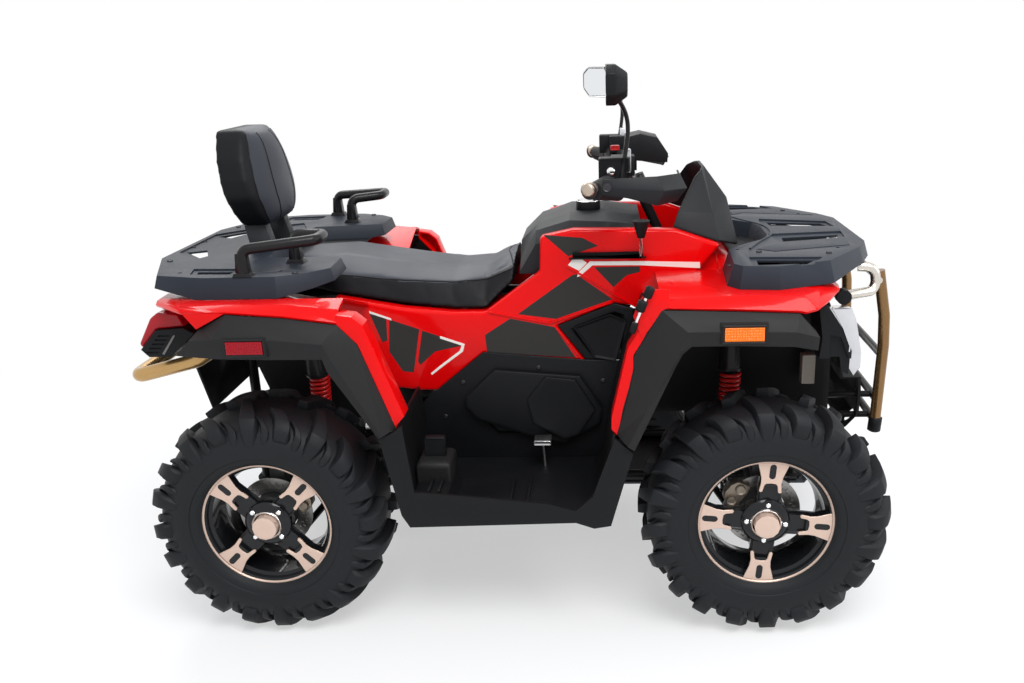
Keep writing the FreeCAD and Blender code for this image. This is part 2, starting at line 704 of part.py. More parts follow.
def bar_points():
    centre_z = CLAMP.z + steering_axis().z * (20.0 + BAR_R + SEAT_GAP)
    centre_x = CLAMP.x + steering_axis().x * (20.0 + BAR_R + SEAT_GAP)
    return [
        BAR_END,
        V(CLAMP.x - 30.0, -215.0, DATUM_Z + 862.0),
        V(centre_x, -90.0, centre_z),
        V(centre_x, 90.0, centre_z),
        V(CLAMP.x - 30.0, 215.0, DATUM_Z + 862.0),
        V(BAR_END.x, -BAR_END.y, BAR_END.z),
    ]


def handlebar():
    return tube(bar_points(), BAR_R, 40.0)


def grip():
    points = bar_points()
    along = (points[1] - points[0]).normalize()
    start = points[0] - along * 8.0
    end = points[0] + along * GRIP_LENGTH
    sleeve = rod(start, end, GRIP_R)
    collar = rod(end - along * 8.0, end, GRIP_R + 6.0)
    cap = rod(start - along * 6.0, start, GRIP_R + 4.0)
    hole = rod(points[0], end + along * 5.0, BAR_R + SEAT_GAP)
    return fuse([sleeve, collar, cap]).cut(hole)


def hand_guard():
    """Shield ahead of a grip, carried by a boss at the bar's end."""
    z = DATUM_Z + 850.0
    x = CLAMP.x
    rows = [
        [V(x - 135.0, -452.0, z + 14.0), V(x - 135.0, -458.0, z - 4.0), V(x - 135.0, -452.0, z - 18.0)],
        [V(x - 40.0, -452.0, z + 22.0), V(x - 30.0, -464.0, z - 4.0), V(x - 40.0, -452.0, z - 26.0)],
        [V(x + 45.0, -440.0, z + 26.0), V(x + 62.0, -452.0, z - 8.0), V(x + 45.0, -436.0, z - 40.0)],
        [V(x + 88.0, -370.0, z + 26.0), V(x + 108.0, -376.0, z - 10.0), V(x + 84.0, -362.0, z - 44.0)],
        [V(x + 92.0, -270.0, z + 20.0), V(x + 108.0, -270.0, z - 8.0), V(x + 90.0, -270.0, z - 34.0)],
    ]
    shield = panel(rows, V(-5.0, 5.0, 0))
    points = bar_points()
    along = (points[1] - points[0]).normalize()
    joint = points[0] - along * (14.0 + SEAT_GAP)
    end_boss = rod(joint, joint - along * 26.0, 12.0)
    return fuse([shield, end_boss])


def mirror():
    """Mirror housing: a shallow shell with clipped corners, glass side to the rear."""
    centre = V(CLAMP.x - 73.0, -402.0, DATUM_Z + 1085.0)
    half_w = 70.0
    half_h = 46.0
    outline = [(-0.8, -1.0), (0.55, -1.0), (1.0, -0.45), (1.0, 0.6), (0.6, 1.0), (-0.6, 1.0), (-1.0, 0.4)]
    rings = []
    for depth, scale in ((-22.0, 1.0), (8.0, 0.98), (34.0, 0.5)):
        rings.append([centre + V(depth, y * half_w * scale, z * half_h * scale) for y, z in outline])
    return loft(rings)


def mirror_stem():
    points = bar_points()
    along = (points[2] - points[1]).normalize()
    foot = points[1] + (points[2] - points[1]) * 0.5
    ring = rod(foot - along * 9.0, foot + along * 9.0, BAR_R + 6.0)
    hole = rod(foot - along * 40.0, foot + along * 40.0, BAR_R + SEAT_GAP)
    stem = [
        foot + UP * (BAR_R + 3.0), V(foot.x, foot.y, DATUM_Z + 925.0),
        V(CLAMP.x - 17.0, -300.0, DATUM_Z + 1000.0), V(CLAMP.x - 59.0, -392.0, DATUM_Z + 1050.0),
    ]
    return ring.cut(hole).fuse(tube(stem, STEM_R, 25.0))


def dash_pod():
    """Instrument pod on the middle of the bar, its face tilted to the rider."""
    z = DATUM_Z + 866.0
    x = CLAMP.x
    outline = [(x - 35.0, z + 8.0), (x - 29.0, z + 66.0), (x + 10.0, z + 74.0), (x + 57.0, z + 62.0),
               (x + 85.0, z + 20.0), (x + 83.0, z - 4.0), (x + 5.0, z + 2.0)]
    centre = bar_points()[2]
    foot = block(centre.x - 12.0, centre.x + 14.0, -40.0, 40.0, centre.z + BAR_R + SEAT_GAP, z + 10.0)
    return side_plate(outline, -62.0, 62.0).fuse(foot).removeSplitter()


def switchgear():
    points = bar_points()
    along = (points[1] - points[0]).normalize()
    near = points[0] + along * (GRIP_LENGTH + 14.0)
    box = rod(near, near + along * 46.0, 26.0)
    reservoir = block(near.x - 6.0, near.x + 52.0, near.y, near.y + 52.0, near.z + 4.0, near.z + 52.0)
    pivot = near + V(34.0, 10.0, -4.0)
    lever = tube([pivot, pivot + V(24.0, -40.0, -4.0), pivot + V(-6.0, -150.0, -10.0)], 5.0, 18.0)
    hole = rod(near - along * 60.0, near + along * 80.0, BAR_R + SEAT_GAP)
    return fuse([box, reservoir, lever]).cut(hole)


# Front wings: red skins over the front wheels, black flares below their lip
FRONT_DECK_Z = RACK_FRONT_LOW - SEAT_GAP
REAR_DECK_Z = RACK_REAR_LOW - SEAT_GAP
WING_TUCK = 4.0
WING_INNER_Y = COVER_Y - THICK_PANEL + WING_TUCK
LIP_Y = FLARE_TOP_Y + 4.0
LIP_SEAM = THICK_PANEL + 0.6
FRONT_CREST = ((-226, 602, 588), (-60, 607, 582), (91, 604, 575), (105, 604, 572))
REAR_CREST = ((-170, 602, 596), (-60, 606, 595), (80, 604, 583), (206, 590, 565))


def crest_row(station, x, crest, lip, deck_z, inner_z):
    start = station + x
    return [
        V(start, -WING_INNER_Y, inner_z),
        V(start, -RIM_FACE_Y + 60.0, deck_z),
        V(start, -RIM_FACE_Y + 5.0, DATUM_Z + crest),
        V(start, -LIP_Y, DATUM_Z + lip),
    ]


def front_wing():
    """Painted skin from the middle of the vehicle out to the lip above the flare."""
    rows = [crest_row(FRONT_STATION, *step, FRONT_DECK_Z, FRONT_DECK_Z) for step in FRONT_CREST]
    end = FRONT_STATION + 228.0
    outer = -RIM_FACE_Y
    rows.append([
        V(end - 42.0, -WING_INNER_Y, FRONT_DECK_Z), V(end - 44.0, outer + 170.0, FRONT_DECK_Z),
        V(end - 72.0, outer + 80.0, DATUM_Z + 598.0), V(end - 95.0, -FLARE_TOP_Y, DATUM_Z + 578.0),
    ])
    rows.append([
        V(end, -WING_INNER_Y, DATUM_Z + 572.0), V(end + 4.0, outer + 210.0, DATUM_Z + 578.0),
        V(end - 12.0, outer + 130.0, DATUM_Z + 585.0), V(end - 59.0, outer + 30.0, DATUM_Z + 586.0),
    ])
    deck = panel(rows, V(0, WING_TUCK, -THICK_PANEL))
    band = [front(-236, 600), front(-305, 489), front(-345, 315), front(-346, 285),
            front(-333, 269), front(-309, 358), front(-292, 438), front(-292, 472), front(-226, 582)]
    leg = side_plate(band, FLARE_TOP_Y - LEG_DEPTH, FLARE_TOP_Y + 2.0)
    trim = inset(band, THICK_PANEL)
    leg = leg.cut(side_plate(trim, FLARE_TOP_Y - LEG_DEPTH - 10.0, FLARE_TOP_Y - 4.0))
    return fuse([deck, leg])


def hood():
    """Painted middle panel between the wings, ahead of the steering column."""
    narrow = PANEL_INNER_Y - SEAT_GAP
    wide = WING_INNER_Y - WING_TUCK - SEAT_GAP
    rows = []
    for x, z, crown_half, side_z, half in (
        (-150, 640, 140, 594, narrow), (-56, 624, 130, 590, narrow), (-54, 622, 130, 590, wide),
        (0, 605, 110, 590, wide), (82, 592, 120, 592, wide), (150, 592, 140, 592, wide),
        (228, 572, 140, 566, wide),
    ):
        start = FRONT_STATION + x
        rows.append([
            V(start, -half, DATUM_Z + side_z), V(start, -crown_half, DATUM_Z + z),
            V(start, crown_half, DATUM_Z + z), V(start, half, DATUM_Z + side_z),
        ])
    return panel(rows, V(0, 0, -THICK_PANEL))


def flare_row(station, top, ridge, lip, tuck=0.0):
    """Flare cross-section: seam with the wing, outer ridge and wheel-arch edge."""
    return [
        V(station + top[0], -(FLARE_TOP_Y + 3.0 - tuck), DATUM_Z + top[1]),
        V(station + ridge[0], -(FLARE_RIDGE_Y - tuck), DATUM_Z + ridge[1]),
        V(station + lip[0], -(FLARE_LIP_Y - tuck), DATUM_Z + lip[1]),
    ]


def reflector_boss(corner, length, height):
    """Flat raised frame on the flare that the reflector sits on."""
    x, z = corner
    margin = 9.0
    return block(x - margin, x + length + margin, -FLARE_RIDGE_Y - 1.0, -FLARE_RIDGE_Y + 12.0,
                 z - margin, z + height + margin)


REFLECTOR_WALL = 5.0
FRONT_REFLECTOR = (90.0, 32.0)
REAR_REFLECTOR = (88.0, 31.0)


def front_reflector_corner():
    return (FRONT_STATION - 84.0, DATUM_Z + 515.0)


def rear_reflector_corner():
    return (REAR_STATION - 54.0, DATUM_Z + 500.0)


def front_flare():
    seam = [(x, lip - LIP_SEAM) for x, crest, lip in FRONT_CREST]
    rows = [
        flare_row(FRONT_STATION, (-332, 269), (-307, 252), (-291, 236)),
        flare_row(FRONT_STATION, (-308, 358), (-262, 345), (-246, 335)),
        flare_row(FRONT_STATION, (-291, 438), (-212, 438), (-196, 445)),
        flare_row(FRONT_STATION, (-291, 470), (-190, 488), (-178, 480)),
        flare_row(FRONT_STATION, seam[0], (-168, 537), (-157, 499)),
        flare_row(FRONT_STATION, seam[1], (-45, 536), (-50, 499)),
        flare_row(FRONT_STATION, seam[2], (80, 533), (79, 495)),
        flare_row(FRONT_STATION, (132, 524), (135, 516), (135, 482), 12.0),
    ]
    return fuse([panel(rows, V(0, 5.0, -2.0)), reflector_boss(front_reflector_corner(), *FRONT_REFLECTOR)])


def rear_flare():
    seam = [(x, lip - LIP_SEAM) for x, crest, lip in REAR_CREST]
    rows = [
        flare_row(REAR_STATION, (-133, 552), (-150, 530), (-192, 490), 14.0),
        flare_row(REAR_STATION, seam[1], (-85, 536), (-91, 485)),
        flare_row(REAR_STATION, seam[2], (60, 532), (38, 481)),
        flare_row(REAR_STATION, seam[3], (176, 520), (169, 480)),
        flare_row(REAR_STATION, (251, 510), (192, 484), (178, 448)),
        flare_row(REAR_STATION, (326, 293), (300, 284), (287, 274)),
    ]
    return fuse([panel(rows, V(0, 5.0, -2.0)), reflector_boss(rear_reflector_corner(), *REAR_REFLECTOR)])


# The seat's lower edge, which the painted panels follow: (x, height)
SEAT_DRAWN = ((-640.0, 572.0), (-490.0, 546.0), (-300.0, 511.0), (-170.0, 497.0), (-80.0, 496.0))
SEAT_LINE = tuple((span(x), z) for x, z in SEAT_DRAWN)
SEAT_FRONT = (span(-6.0), 568.0)


def rear_wing():
    """Painted rear skin: deck beside the seat, crest, lip and front leg."""
    inner = (578, 572, 546, 530)
    rows = []
    for step, low in zip(REAR_CREST, inner):
        rows.append(crest_row(REAR_STATION, *step, REAR_DECK_Z, DATUM_Z + low))
    tip = REAR_STATION - 280.0
    rows.insert(0, [
        V(tip, -WING_INNER_Y, DATUM_Z + 584.0), V(tip, -RIM_FACE_Y + 160.0, REAR_DECK_Z - 6.0),
        V(tip, -RIM_FACE_Y + 100.0, REAR_DECK_Z - 8.0), V(tip, -LIP_Y + 110.0, REAR_DECK_Z - 16.0),
    ])
    deck = panel(rows, V(0, WING_TUCK, -THICK_PANEL))
    band = [rear(206, 583), rear(243, 577), rear(268, 556), rear(350, 324), rear(329, 300), rear(327, 293),
            rear(252, 510), rear(206, 559)]
    leg = side_plate(band, FLARE_TOP_Y - LEG_DEPTH, FLARE_TOP_Y + 2.0)
    leg = leg.cut(side_plate(inset(band, THICK_PANEL), FLARE_TOP_Y - LEG_DEPTH - 10.0, FLARE_TOP_Y - 4.0))
    tail = [rear(-176, 606), rear(-64, 590), rear(-136, 553)]
    fin = side_plate(tail, FLARE_TOP_Y - 20.0, FLARE_TOP_Y + 2.0)
    return fuse([deck, leg, fin])


# Side panels between the wheels. Heights are above the datum plane.
NOTCH = ((318.0, 500.0), (266.0, 516.0), (114.0, 456.0), (190.0, 354.0))
PANEL_SEAM = ((190.0, 354.0), (-90.0, 380.0), (-222.0, 273.0))
COWL_REAR = (428.0, 710.0)
COWL_MID = (545.0, 668.0)


def lifted(points):
    """Side-view points of the middle body, from its drawn places."""
    return [(span(x), DATUM_Z + z) for x, z in points]


def side_panel():
    """Painted side panel from the seat's edge up to the tank and out to the wing."""
    under_seat = [(x, z - SEAT_GAP) for x, z in SEAT_DRAWN[1:]]
    outline = under_seat + [
        (71, 604), (75, 698), (163, 716), (338, 712), COWL_REAR, COWL_MID, (480, 590), (400, 560), (340, 502),
        NOTCH[1], NOTCH[2], PANEL_SEAM[0], PANEL_SEAM[1], PANEL_SEAM[2],
        (-266, 274), (-400, 290), (-455, 420), (-470, 490),
    ]
    return side_plate(lifted(outline), PANEL_INNER_Y, COVER_Y - THICK_PANEL - SEAT_GAP)


def side_cover():
    """Black engine side cover with a raised boss, lapped over the painted panel."""
    lap = 6.0
    outline = [
        (-266.0, 240.0), (-240.0, 272.0), (PANEL_SEAM[2][0], PANEL_SEAM[2][1] + lap),
        (PANEL_SEAM[1][0], PANEL_SEAM[1][1] + lap), (PANEL_SEAM[0][0], PANEL_SEAM[0][1] + lap),
        (312.0, 356.0), (262.0, 190.0), (244.0, 100.0), (225.0, 62.0), (-262.0, 62.0),
    ]
    plate = side_plate(lifted(outline), COVER_Y - THICK_PANEL, COVER_Y)
    raised = [(27, 147), (-60, 150), (-143, 234), (-143, 264), (-60, 330), (172, 312), (228, 223), (221, 181),
              (123, 121)]
    boss = loft([
        [V(x, -COVER_Y, z) for x, z in lifted(raised)],
        [V(x, -COVER_Y - 14.0, z) for x, z in inset(lifted(raised), 10.0)],
    ])
    return fuse([plate, boss])


def vent_cover():
    """Black upper cover with a recessed pentagon, set in the panel's notch."""
    outline = inset(lifted([NOTCH[0], NOTCH[1], NOTCH[2], NOTCH[3], (312.0, 356.0)]), SEAT_GAP)
    plate = side_plate(outline, PANEL_INNER_Y + 30.0, COVER_Y - THICK_PANEL - SEAT_GAP)
    hollow = loft([
        [V(x, -COVER_Y + THICK_PANEL, z) for x, z in inset(outline, 22.0)],
        [V(x, -COVER_Y + 16.0, z) for x, z in inset(outline, 30.0)],
    ])
    return plate.cut(hollow)


FLOOR_Z = DATUM_Z + 74.0
FLOOR_WALL = 5.0
FLOOR_INNER_Y = COVER_Y + SEAT_GAP
TOE_HEIGHT = 34.0
TOE_WIDTH = 150.0
RAIL_WIDTH = 6.0
RAIL_HEIGHT = 14.0
LEG_DEPTH = 50.0


def footwell():
    """Moulded footwell: floor with end walls, toe block and grip rails, and the outer skirt."""
    rear_wall = [rear(327, 290), rear(331, 270), rear(350, 70)]
    front_wall = [front(-372, 64), front(-342, 272)]
    channel = [
        rear_wall[0], rear_wall[1], rear_wall[2], (rear_wall[2][0] + 6.0, FLOOR_Z),
        (front_wall[0][0] - 20.0, FLOOR_Z), (front_wall[0][0] + 4.0, DATUM_Z + 110.0), front_wall[1],
        (front_wall[1][0] + FLOOR_WALL, front_wall[1][1]),
        (front_wall[0][0] + 4.0 + FLOOR_WALL, DATUM_Z + 108.0),
        (front_wall[0][0] - 16.0, FLOOR_Z - FLOOR_WALL),
        (rear_wall[2][0] + 1.0, FLOOR_Z - FLOOR_WALL), (rear_wall[2][0] - FLOOR_WALL, rear_wall[2][1]),
        (rear_wall[1][0] - FLOOR_WALL, rear_wall[1][1]), (rear_wall[0][0] - FLOOR_WALL, rear_wall[0][1]),
    ]
    tray = side_plate(channel, FLOOR_INNER_Y, SKIRT_Y)
    skirt = [
        rear(286, 270), rear(322, 287), rear(345, 305), rear(350, 250), rear(363, 124),
        front(-502, 92), front(-437, 72), front(-394, 112), front(-338, 266), front(-294, 226),
        front(-350, 31), front(-392, 24), front(-437, 40), rear(345, 29), rear(326, 62),
    ]
    wall = side_plate(skirt, SKIRT_Y - 4.0, SKIRT_Y + 8.0)
    sunk = FLOOR_Z - FLOOR_WALL / 2
    toe_x = rear_wall[2][0]
    toe_top = FLOOR_Z + TOE_HEIGHT
    toe = [(toe_x + 4.0, sunk), (toe_x + 4.0, toe_top), (toe_x + 92.0, toe_top), (toe_x + 108.0, sunk)]
    pieces = [tray, wall, side_plate(toe, SKIRT_Y - TOE_WIDTH, SKIRT_Y - 2.0)]
    back = front_wall[1]
    guard = [back, front(-312, 400), front(-262, 545), front(-256, 545), front(-306, 398),
             (back[0] + FLOOR_WALL, back[1] - 2.0)]
    pieces.append(side_plate(guard, FLOOR_INNER_Y, FLARE_TOP_Y - LEG_DEPTH - 1.0))
    peg_z = toe_top - 2.0
    for x, z in ((toe_x + 40.0, peg_z), (toe_x + 66.0, peg_z), (span(-6.0), sunk), (span(38.0), sunk)):
        outer = 12.0 - SKIRT_Y
        pieces.append(block(x, x + RAIL_WIDTH, outer, outer + TOE_WIDTH, z, z + RAIL_HEIGHT))
    return fuse(pieces)


# Tank cover, seat, cowl and small pieces on top
TANK_TOP = 738.0
CAP_X = span(200.0)
CAP_Y = -45.0


def tank_cover():
    half = PANEL_INNER_Y - SEAT_GAP
    sections = []
    for x, low, edge, top, edge_half in (
        (14, 590, 625, 662, 130), (60, 590, 700, 706, 150), (150, 600, 726, TANK_TOP, 155),
        (250, 600, 722, TANK_TOP, 160), (340, 600, 712, 724, 165),
    ):
        sections.append([V(span(x), y, DATUM_Z + z) for y, z in (
            (-half, low), (-half, edge - 30.0), (-edge_half, edge), (-90.0, top),
            (90.0, top), (edge_half, edge), (half, edge - 30.0), (half, low),
        )])
    return loft(sections)


SEAT_HALF = COVER_Y - 35.0


def seat():
    crown = (
        (602, 166, 624, 80), (594, 186, 630, 85), (572, 182, 600, 78),
        (562, 172, 581, 72), (572, 162, 586, 70), (604, 154, 630, 72),
    )
    base = list(SEAT_LINE) + [SEAT_FRONT]
    sections = []
    for index, ((x, low), (crease, crease_half, top, top_half)) in enumerate(zip(base, crown)):
        low_half = SEAT_HALF - (38.0 if index in (0, len(base) - 1) else 0.0)
        sections.append([V(x, y, DATUM_Z + z) for y, z in (
            (-low_half, low), (-crease_half, crease), (-top_half, top),
            (top_half, top), (crease_half, crease), (low_half, low),
        )])
    return loft(sections)


def fuel_cap():
    base = V(CAP_X, CAP_Y, DATUM_Z + TANK_TOP + SEAT_GAP)
    return rod(base, base + UP * 24.0, 34.0)


def cowl():
    """Instrument cowl: a faceted shield that rises ahead of the handlebar."""
    rest = 6.2 + SEAT_GAP
    half = PANEL_INNER_Y + 20.0
    foot_rear = V(span(COWL_REAR[0]), -half, DATUM_Z + COWL_REAR[1] + rest)
    foot_mid = V(span(COWL_MID[0]), -half, DATUM_Z + COWL_MID[1] + rest)
    rows = (
        (foot_rear, (12.0, -200.0, 750.0), (62.0, -130.0, 834.0)),
        (foot_mid, (-15.0, -185.0, 740.0), (-38.0, -100.0, 846.0)),
        (V(foot_mid.x + 61.0, -120.0, DATUM_Z + 646.0), (-31.0, -100.0, 770.0), (-90.0, -55.0, 852.0)),
    )
    side = [[foot] + [V(foot.x + x, y, DATUM_Z + z) for x, y, z in above] for foot, *above in rows]
    far = [[V(p.x, -p.y, p.z) for p in row] for row in reversed(side)]
    return panel(side + far, V(-THICK_PANEL, 0, -4.0))


def gear_lever():
    """Gear lever with a bell knob, standing in its slotted gate."""
    gate_rear = span(150.0)
    gate_front = span(352.0)
    face = COVER_Y - THICK_PANEL
    low = DATUM_Z + 618.0
    high = low + 24.0
    base = V(gate_front - 13.0, -face - 6.0, low + 12.0)
    knob = V(gate_front - 15.0, -COVER_Y - 50.0, high + 74.0)
    gate = block(gate_rear, gate_front, -face - 8.0, -face, low, high)
    track = block(gate_rear + 10.0, gate_front - 10.0, -face - 9.0, -face - 3.0, low + 6.0, high - 6.0)
    grip_body = Part.makeCone(9.0, 22.0, 44.0, knob - UP * 14.0, UP)
    return fuse([gate.cut(track), rod(base, knob, 5.0), grip_body])


# Racks: shallow moulded trays with slots
RACK_CHAMFER = 16.0
RACK_HOLE_R = 5.5
FRONT_HOLES_X = 256.0
FRONT_HOLES_Y = 508.0
REAR_HOLES_X = 260.0
REAR_HOLES_Y = 780.0
FRONT_HOLES_MID = FRONT_STATION + 113.0
REAR_HOLES_MID = REAR_STATION - 100.0


def full_outline(half):
    """Close a half plan outline (right side) with its mirror image."""
    return half + [(x, -y) for x, y in reversed(half)]


def rack(half, low, top):
    """Open-bottomed tray with a chamfered rim, from half of its plan outline."""
    outline = full_outline(half)
    upper = inset(outline, RACK_CHAMFER)
    body = loft([[V(x, y, low) for x, y in outline], [V(x, y, top) for x, y in upper]])
    inner_low = inset(outline, RACK_WALL)
    inner_top = inset(outline, RACK_CHAMFER + RACK_WALL)
    hollow = loft([
        [V(x, y, low - 1.0) for x, y in inner_low],
        [V(x, y, top - RACK_DECK) for x, y in inner_top],
    ])
    return body.cut(hollow)


def rim_rise(x, reach, rise, low):
    """Cutter that lifts the rim's lower edge from a place to the end of the rack."""
    end = x + reach
    under = low - 10.0
    outline = [(x, under), (x, low), (end, low + rise), (end + reach, low + rise), (end + reach, under)]
    return side_plate(outline, -TRACK_REACH, TRACK_REACH)


def rack_cutter(points, depth, top):
    """Plan outline cut into the deck to a depth, on both sides of the vehicle."""
    right = plan_plate(points, top - depth, top + 2.0)
    return both_sides(right)


def hole_grid(middle_x, spacing_x, spacing_y, z):
    cutters = []
    for x in (middle_x - spacing_x / 2, middle_x + spacing_x / 2):
        for y in (-spacing_y / 2, spacing_y / 2):
            cutters.append(Part.makeCylinder(RACK_HOLE_R, 40.0, V(x, y, z - 20.0), UP))
    return cutters


def front_rack():
    """Front rack: cut out behind for the cowl, raised pads round a tongue, strap slots."""
    s = FRONT_STATION
    half = [
        (s + 78.0, -62.0), (s + 64.0, -110.0), (s - 8.0, -186.0), (s - 50.0, -242.0),
        (s - 60.0, -420.0), (s - 35.0, -458.0), (s + 60.0, -470.0),
        (s + 200.0, -412.0), (s + 310.0, -260.0), (s + 345.0, -176.0),
    ]
    top = RACK_FRONT_TOP
    cutters = hole_grid(FRONT_HOLES_MID, FRONT_HOLES_X, FRONT_HOLES_Y, top)
    outer_well = [(s + 2.0, -346.0), (s + 180.0, -360.0), (s + 142.0, -430.0), (s - 4.0, -438.0)]
    outer_slot = [(s + 18.0, -362.0), (s + 156.0, -375.0), (s + 130.0, -416.0), (s + 14.0, -424.0)]
    inner_well = [(s + 96.0, -58.0), (s + 300.0, -36.0), (s + 292.0, -118.0), (s + 108.0, -178.0)]
    inner_slot = [(s + 128.0, -92.0), (s + 286.0, -68.0), (s + 274.0, -106.0), (s + 124.0, -142.0)]
    pad_groove = [
        (s + 38.0, -252.0), (s + 78.0, -282.0), (s + 278.0, -220.0),
        (s + 280.0, -228.0), (s + 77.0, -291.0), (s + 32.0, -258.0),
    ]
    for outline, depth in ((outer_well, RACK_SINK), (outer_slot, 40.0), (inner_well, RACK_SINK),
                           (inner_slot, 40.0), (pad_groove, RACK_SINK)):
        cutters += rack_cutter(outline, depth, top)
    cutters.append(rim_rise(s + 190.0, 120.0, 14.0, RACK_FRONT_LOW))
    return rack(half, RACK_FRONT_LOW, top).cut(cutters)


def rear_rack():
    """Rear rack: sunk luggage field under the backrest, strap slots and corner vents."""
    s = REAR_STATION
    half = [
        (s - 60.0, -80.0), (s - 45.0, -205.0), (s + 160.0, -228.0),
        (s + 166.0, -372.0), (s + 120.0, -425.0), (s + 40.0, -468.0),
        (s - 150.0, -468.0), (s - 290.0, -430.0), (s - 377.0, -210.0),
    ]
    top = RACK_REAR_TOP
    cutters = hole_grid(REAR_HOLES_MID, REAR_HOLES_X, REAR_HOLES_Y, top)
    field_half = [(s - 346.0, -130.0), (s - 262.0, -220.0), (s - 122.0, -296.0), (s - 84.0, -200.0)]
    field = full_outline(field_half)
    cutters.append(plan_plate(field, top - RACK_SINK, top + 2.0))
    outer_well = [(s - 212.0, -346.0), (s - 84.0, -356.0), (s - 84.0, -418.0), (s - 196.0, -410.0)]
    outer_slot = [(s - 194.0, -364.0), (s - 100.0, -370.0), (s - 100.0, -402.0), (s - 184.0, -396.0)]
    vent = [(s - 334.0, -112.0), (s - 284.0, -88.0), (s - 250.0, -166.0), (s - 262.0, -192.0)]
    for outline, depth in ((outer_well, RACK_SINK), (outer_slot, 40.0), (vent, 40.0)):
        cutters += rack_cutter(outline, depth, top)
    cutters.append(rim_rise(s - 170.0, -120.0, 22.0, RACK_REAR_LOW))
    cutters.append(rim_rise(s + 40.0, 130.0, 22.0, RACK_REAR_LOW))
    return rack(half, RACK_REAR_LOW, top).cut(cutters)


HANDLE_R = 14.0
CORNERS = ((-1, -1), (1, -1), (1, 1), (-1, 1))


def grab_handle():
    """Passenger's handle: a bent bar between two tapered posts with foot flanges."""
    foot = RACK_REAR_TOP + SEAT_GAP
    outer_x = REAR_STATION - 46.0
    inner_x = REAR_STATION + 40.0
    loop = [
        V(outer_x, -438.0, foot + 8.0), V(outer_x, -438.0, DATUM_Z + 722.0),
        V(REAR_STATION + 130.0, -398.0, DATUM_Z + 735.0), V(REAR_STATION + 130.0, -326.0, DATUM_Z + 735.0),
        V(inner_x, -290.0, DATUM_Z + 730.0), V(inner_x, -290.0, foot + 8.0),
    ]
    pieces = [tube(loop, HANDLE_R, 24.0)]
    for x, y in ((outer_x, -438.0), (inner_x, -290.0)):
        low = [V(x + dx * 24.0, y + dy * 17.0, foot) for dx, dy in CORNERS]
        high = [V(x + dx * 20.0, y + dy * 14.0, foot + 9.0) for dx, dy in CORNERS]
        waist = [V(x + dx * 16.0, y + dy * 13.0, foot + 10.0) for dx, dy in CORNERS]
        neck = [V(x + dx * 12.0, y + dy * 12.0, DATUM_Z + 714.0) for dx, dy in CORNERS]
        pieces += [loft([low, high]), loft([waist, neck])]
        pieces.append(block(x - 10.0, x + 10.0, y - 10.0, y + 10.0, foot + 5.0, foot + 15.0))
    return fuse(pieces)


BACKREST_HALF = 160.0
BACKREST_LOW = DATUM_Z + 722.0
BACKREST_HEIGHT = 262.0


def backrest_pad():
    """Backrest cushion: a leaning slab with clipped corners."""
    outline = ((-0.62, 0.0), (-0.98, 0.3), (-1.0, 0.72), (-0.62, 1.0), (0.62, 1.0), (1.0, 0.72), (0.98, 0.3),
               (0.62, 0.0))
    rows = []
    for depth, scale in ((0.0, 0.92), (20.0, 1.0), (62.0, 0.96)):
        row = []
        for y, z in outline:
            height = BACKREST_HEIGHT * (0.5 + (z - 0.5) * scale)
            lean = REAR_STATION - 160.0 + depth - 0.2 * height
            row.append(V(lean, y * BACKREST_HALF * scale, BACKREST_LOW + height))
        rows.append(row)
    return loft(rows)


def backrest_mount():
    """Bent steel bracket with a foot in the rack's sunk field."""
    foot = RACK_REAR_TOP - RACK_SINK + SEAT_GAP
    head = BACKREST_LOW - SEAT_GAP
    x = REAR_STATION - 150.0
    outline = [(x - 5.0, foot), (x + 60.0, foot), (x + 60.0, foot + 16.0), (x + 45.0, head),
               (x - 15.0, head), (x - 5.0, foot + 16.0)]
    return side_plate(outline, 60.0, 96.0)


# Front end: lamp surround, lamps, bumper
GRILLE_ROWS = 4
GRILLE_PITCH = 20.0
GRILLE_BAR = 8.0
GRILLE_HALF = 150.0
GUARD_HALF = 185.0
POST_Y = 200.0
POST_R = 15.0
LOOP_R = 13.0
BRACKET_R = 11.0
BUMPER_X = FRONT_STATION + 392.0
STRUT_HEIGHTS = (DATUM_Z + 216.0, DATUM_Z + 155.0)
STRUT_R = 9.0


def nose():
    """Black front panel between the headlamps with a grille, open to the rear and below."""
    outline = [front(112, 585.5), front(150, 585.5), front(226, 520), front(250, 470), front(240, 360),
               front(222, 380), front(203, 395), front(150, 436), front(112, 470)]
    body = side_plate(outline, -NOSE_HALF, NOSE_HALF)
    inner = inset(outline, NOSE_WALL)
    hollow = inner[1:6] + [front(196, 340), front(90, 340), front(90, inner[1][1] - DATUM_Z)]
    body = body.cut(side_plate(hollow, NOSE_WALL - NOSE_HALF, NOSE_HALF - NOSE_WALL))
    low = DATUM_Z + 384.0
    face = [front(241, 400), front(285, 340), front(295, 279), front(343, 279), front(346, 234),
            front(344, 170), front(311, 132)]
    back = [(x - 8.0, z - 4.0) for x, z in reversed(face)]
    guard = side_plate(face + back, -GUARD_HALF, GUARD_HALF)
    guard = guard.cut([rod(V(FRONT_STATION, y, z), V(BUMPER_X, y, z), BRACKET_R + RUN_GAP)
                       for z in STRUT_HEIGHTS for y in (-RAIL_Y, RAIL_Y)])
    body = body.fuse(guard).removeSplitter()
    openings = []
    for row in range(GRILLE_ROWS):
        z = low + row * GRILLE_PITCH
        openings.append(block(FRONT_STATION + 200.0, FRONT_STATION + 260.0, -GRILLE_HALF, GRILLE_HALF,
                              z, z + GRILLE_PITCH - GRILLE_BAR))
    return body.cut(openings)


LAMP_OUTER_Y = NOSE_HALF + 124.0
LAMP_SWEEP = 18.0
SHROUD_OUTER_Y = LAMP_OUTER_Y + 126.0


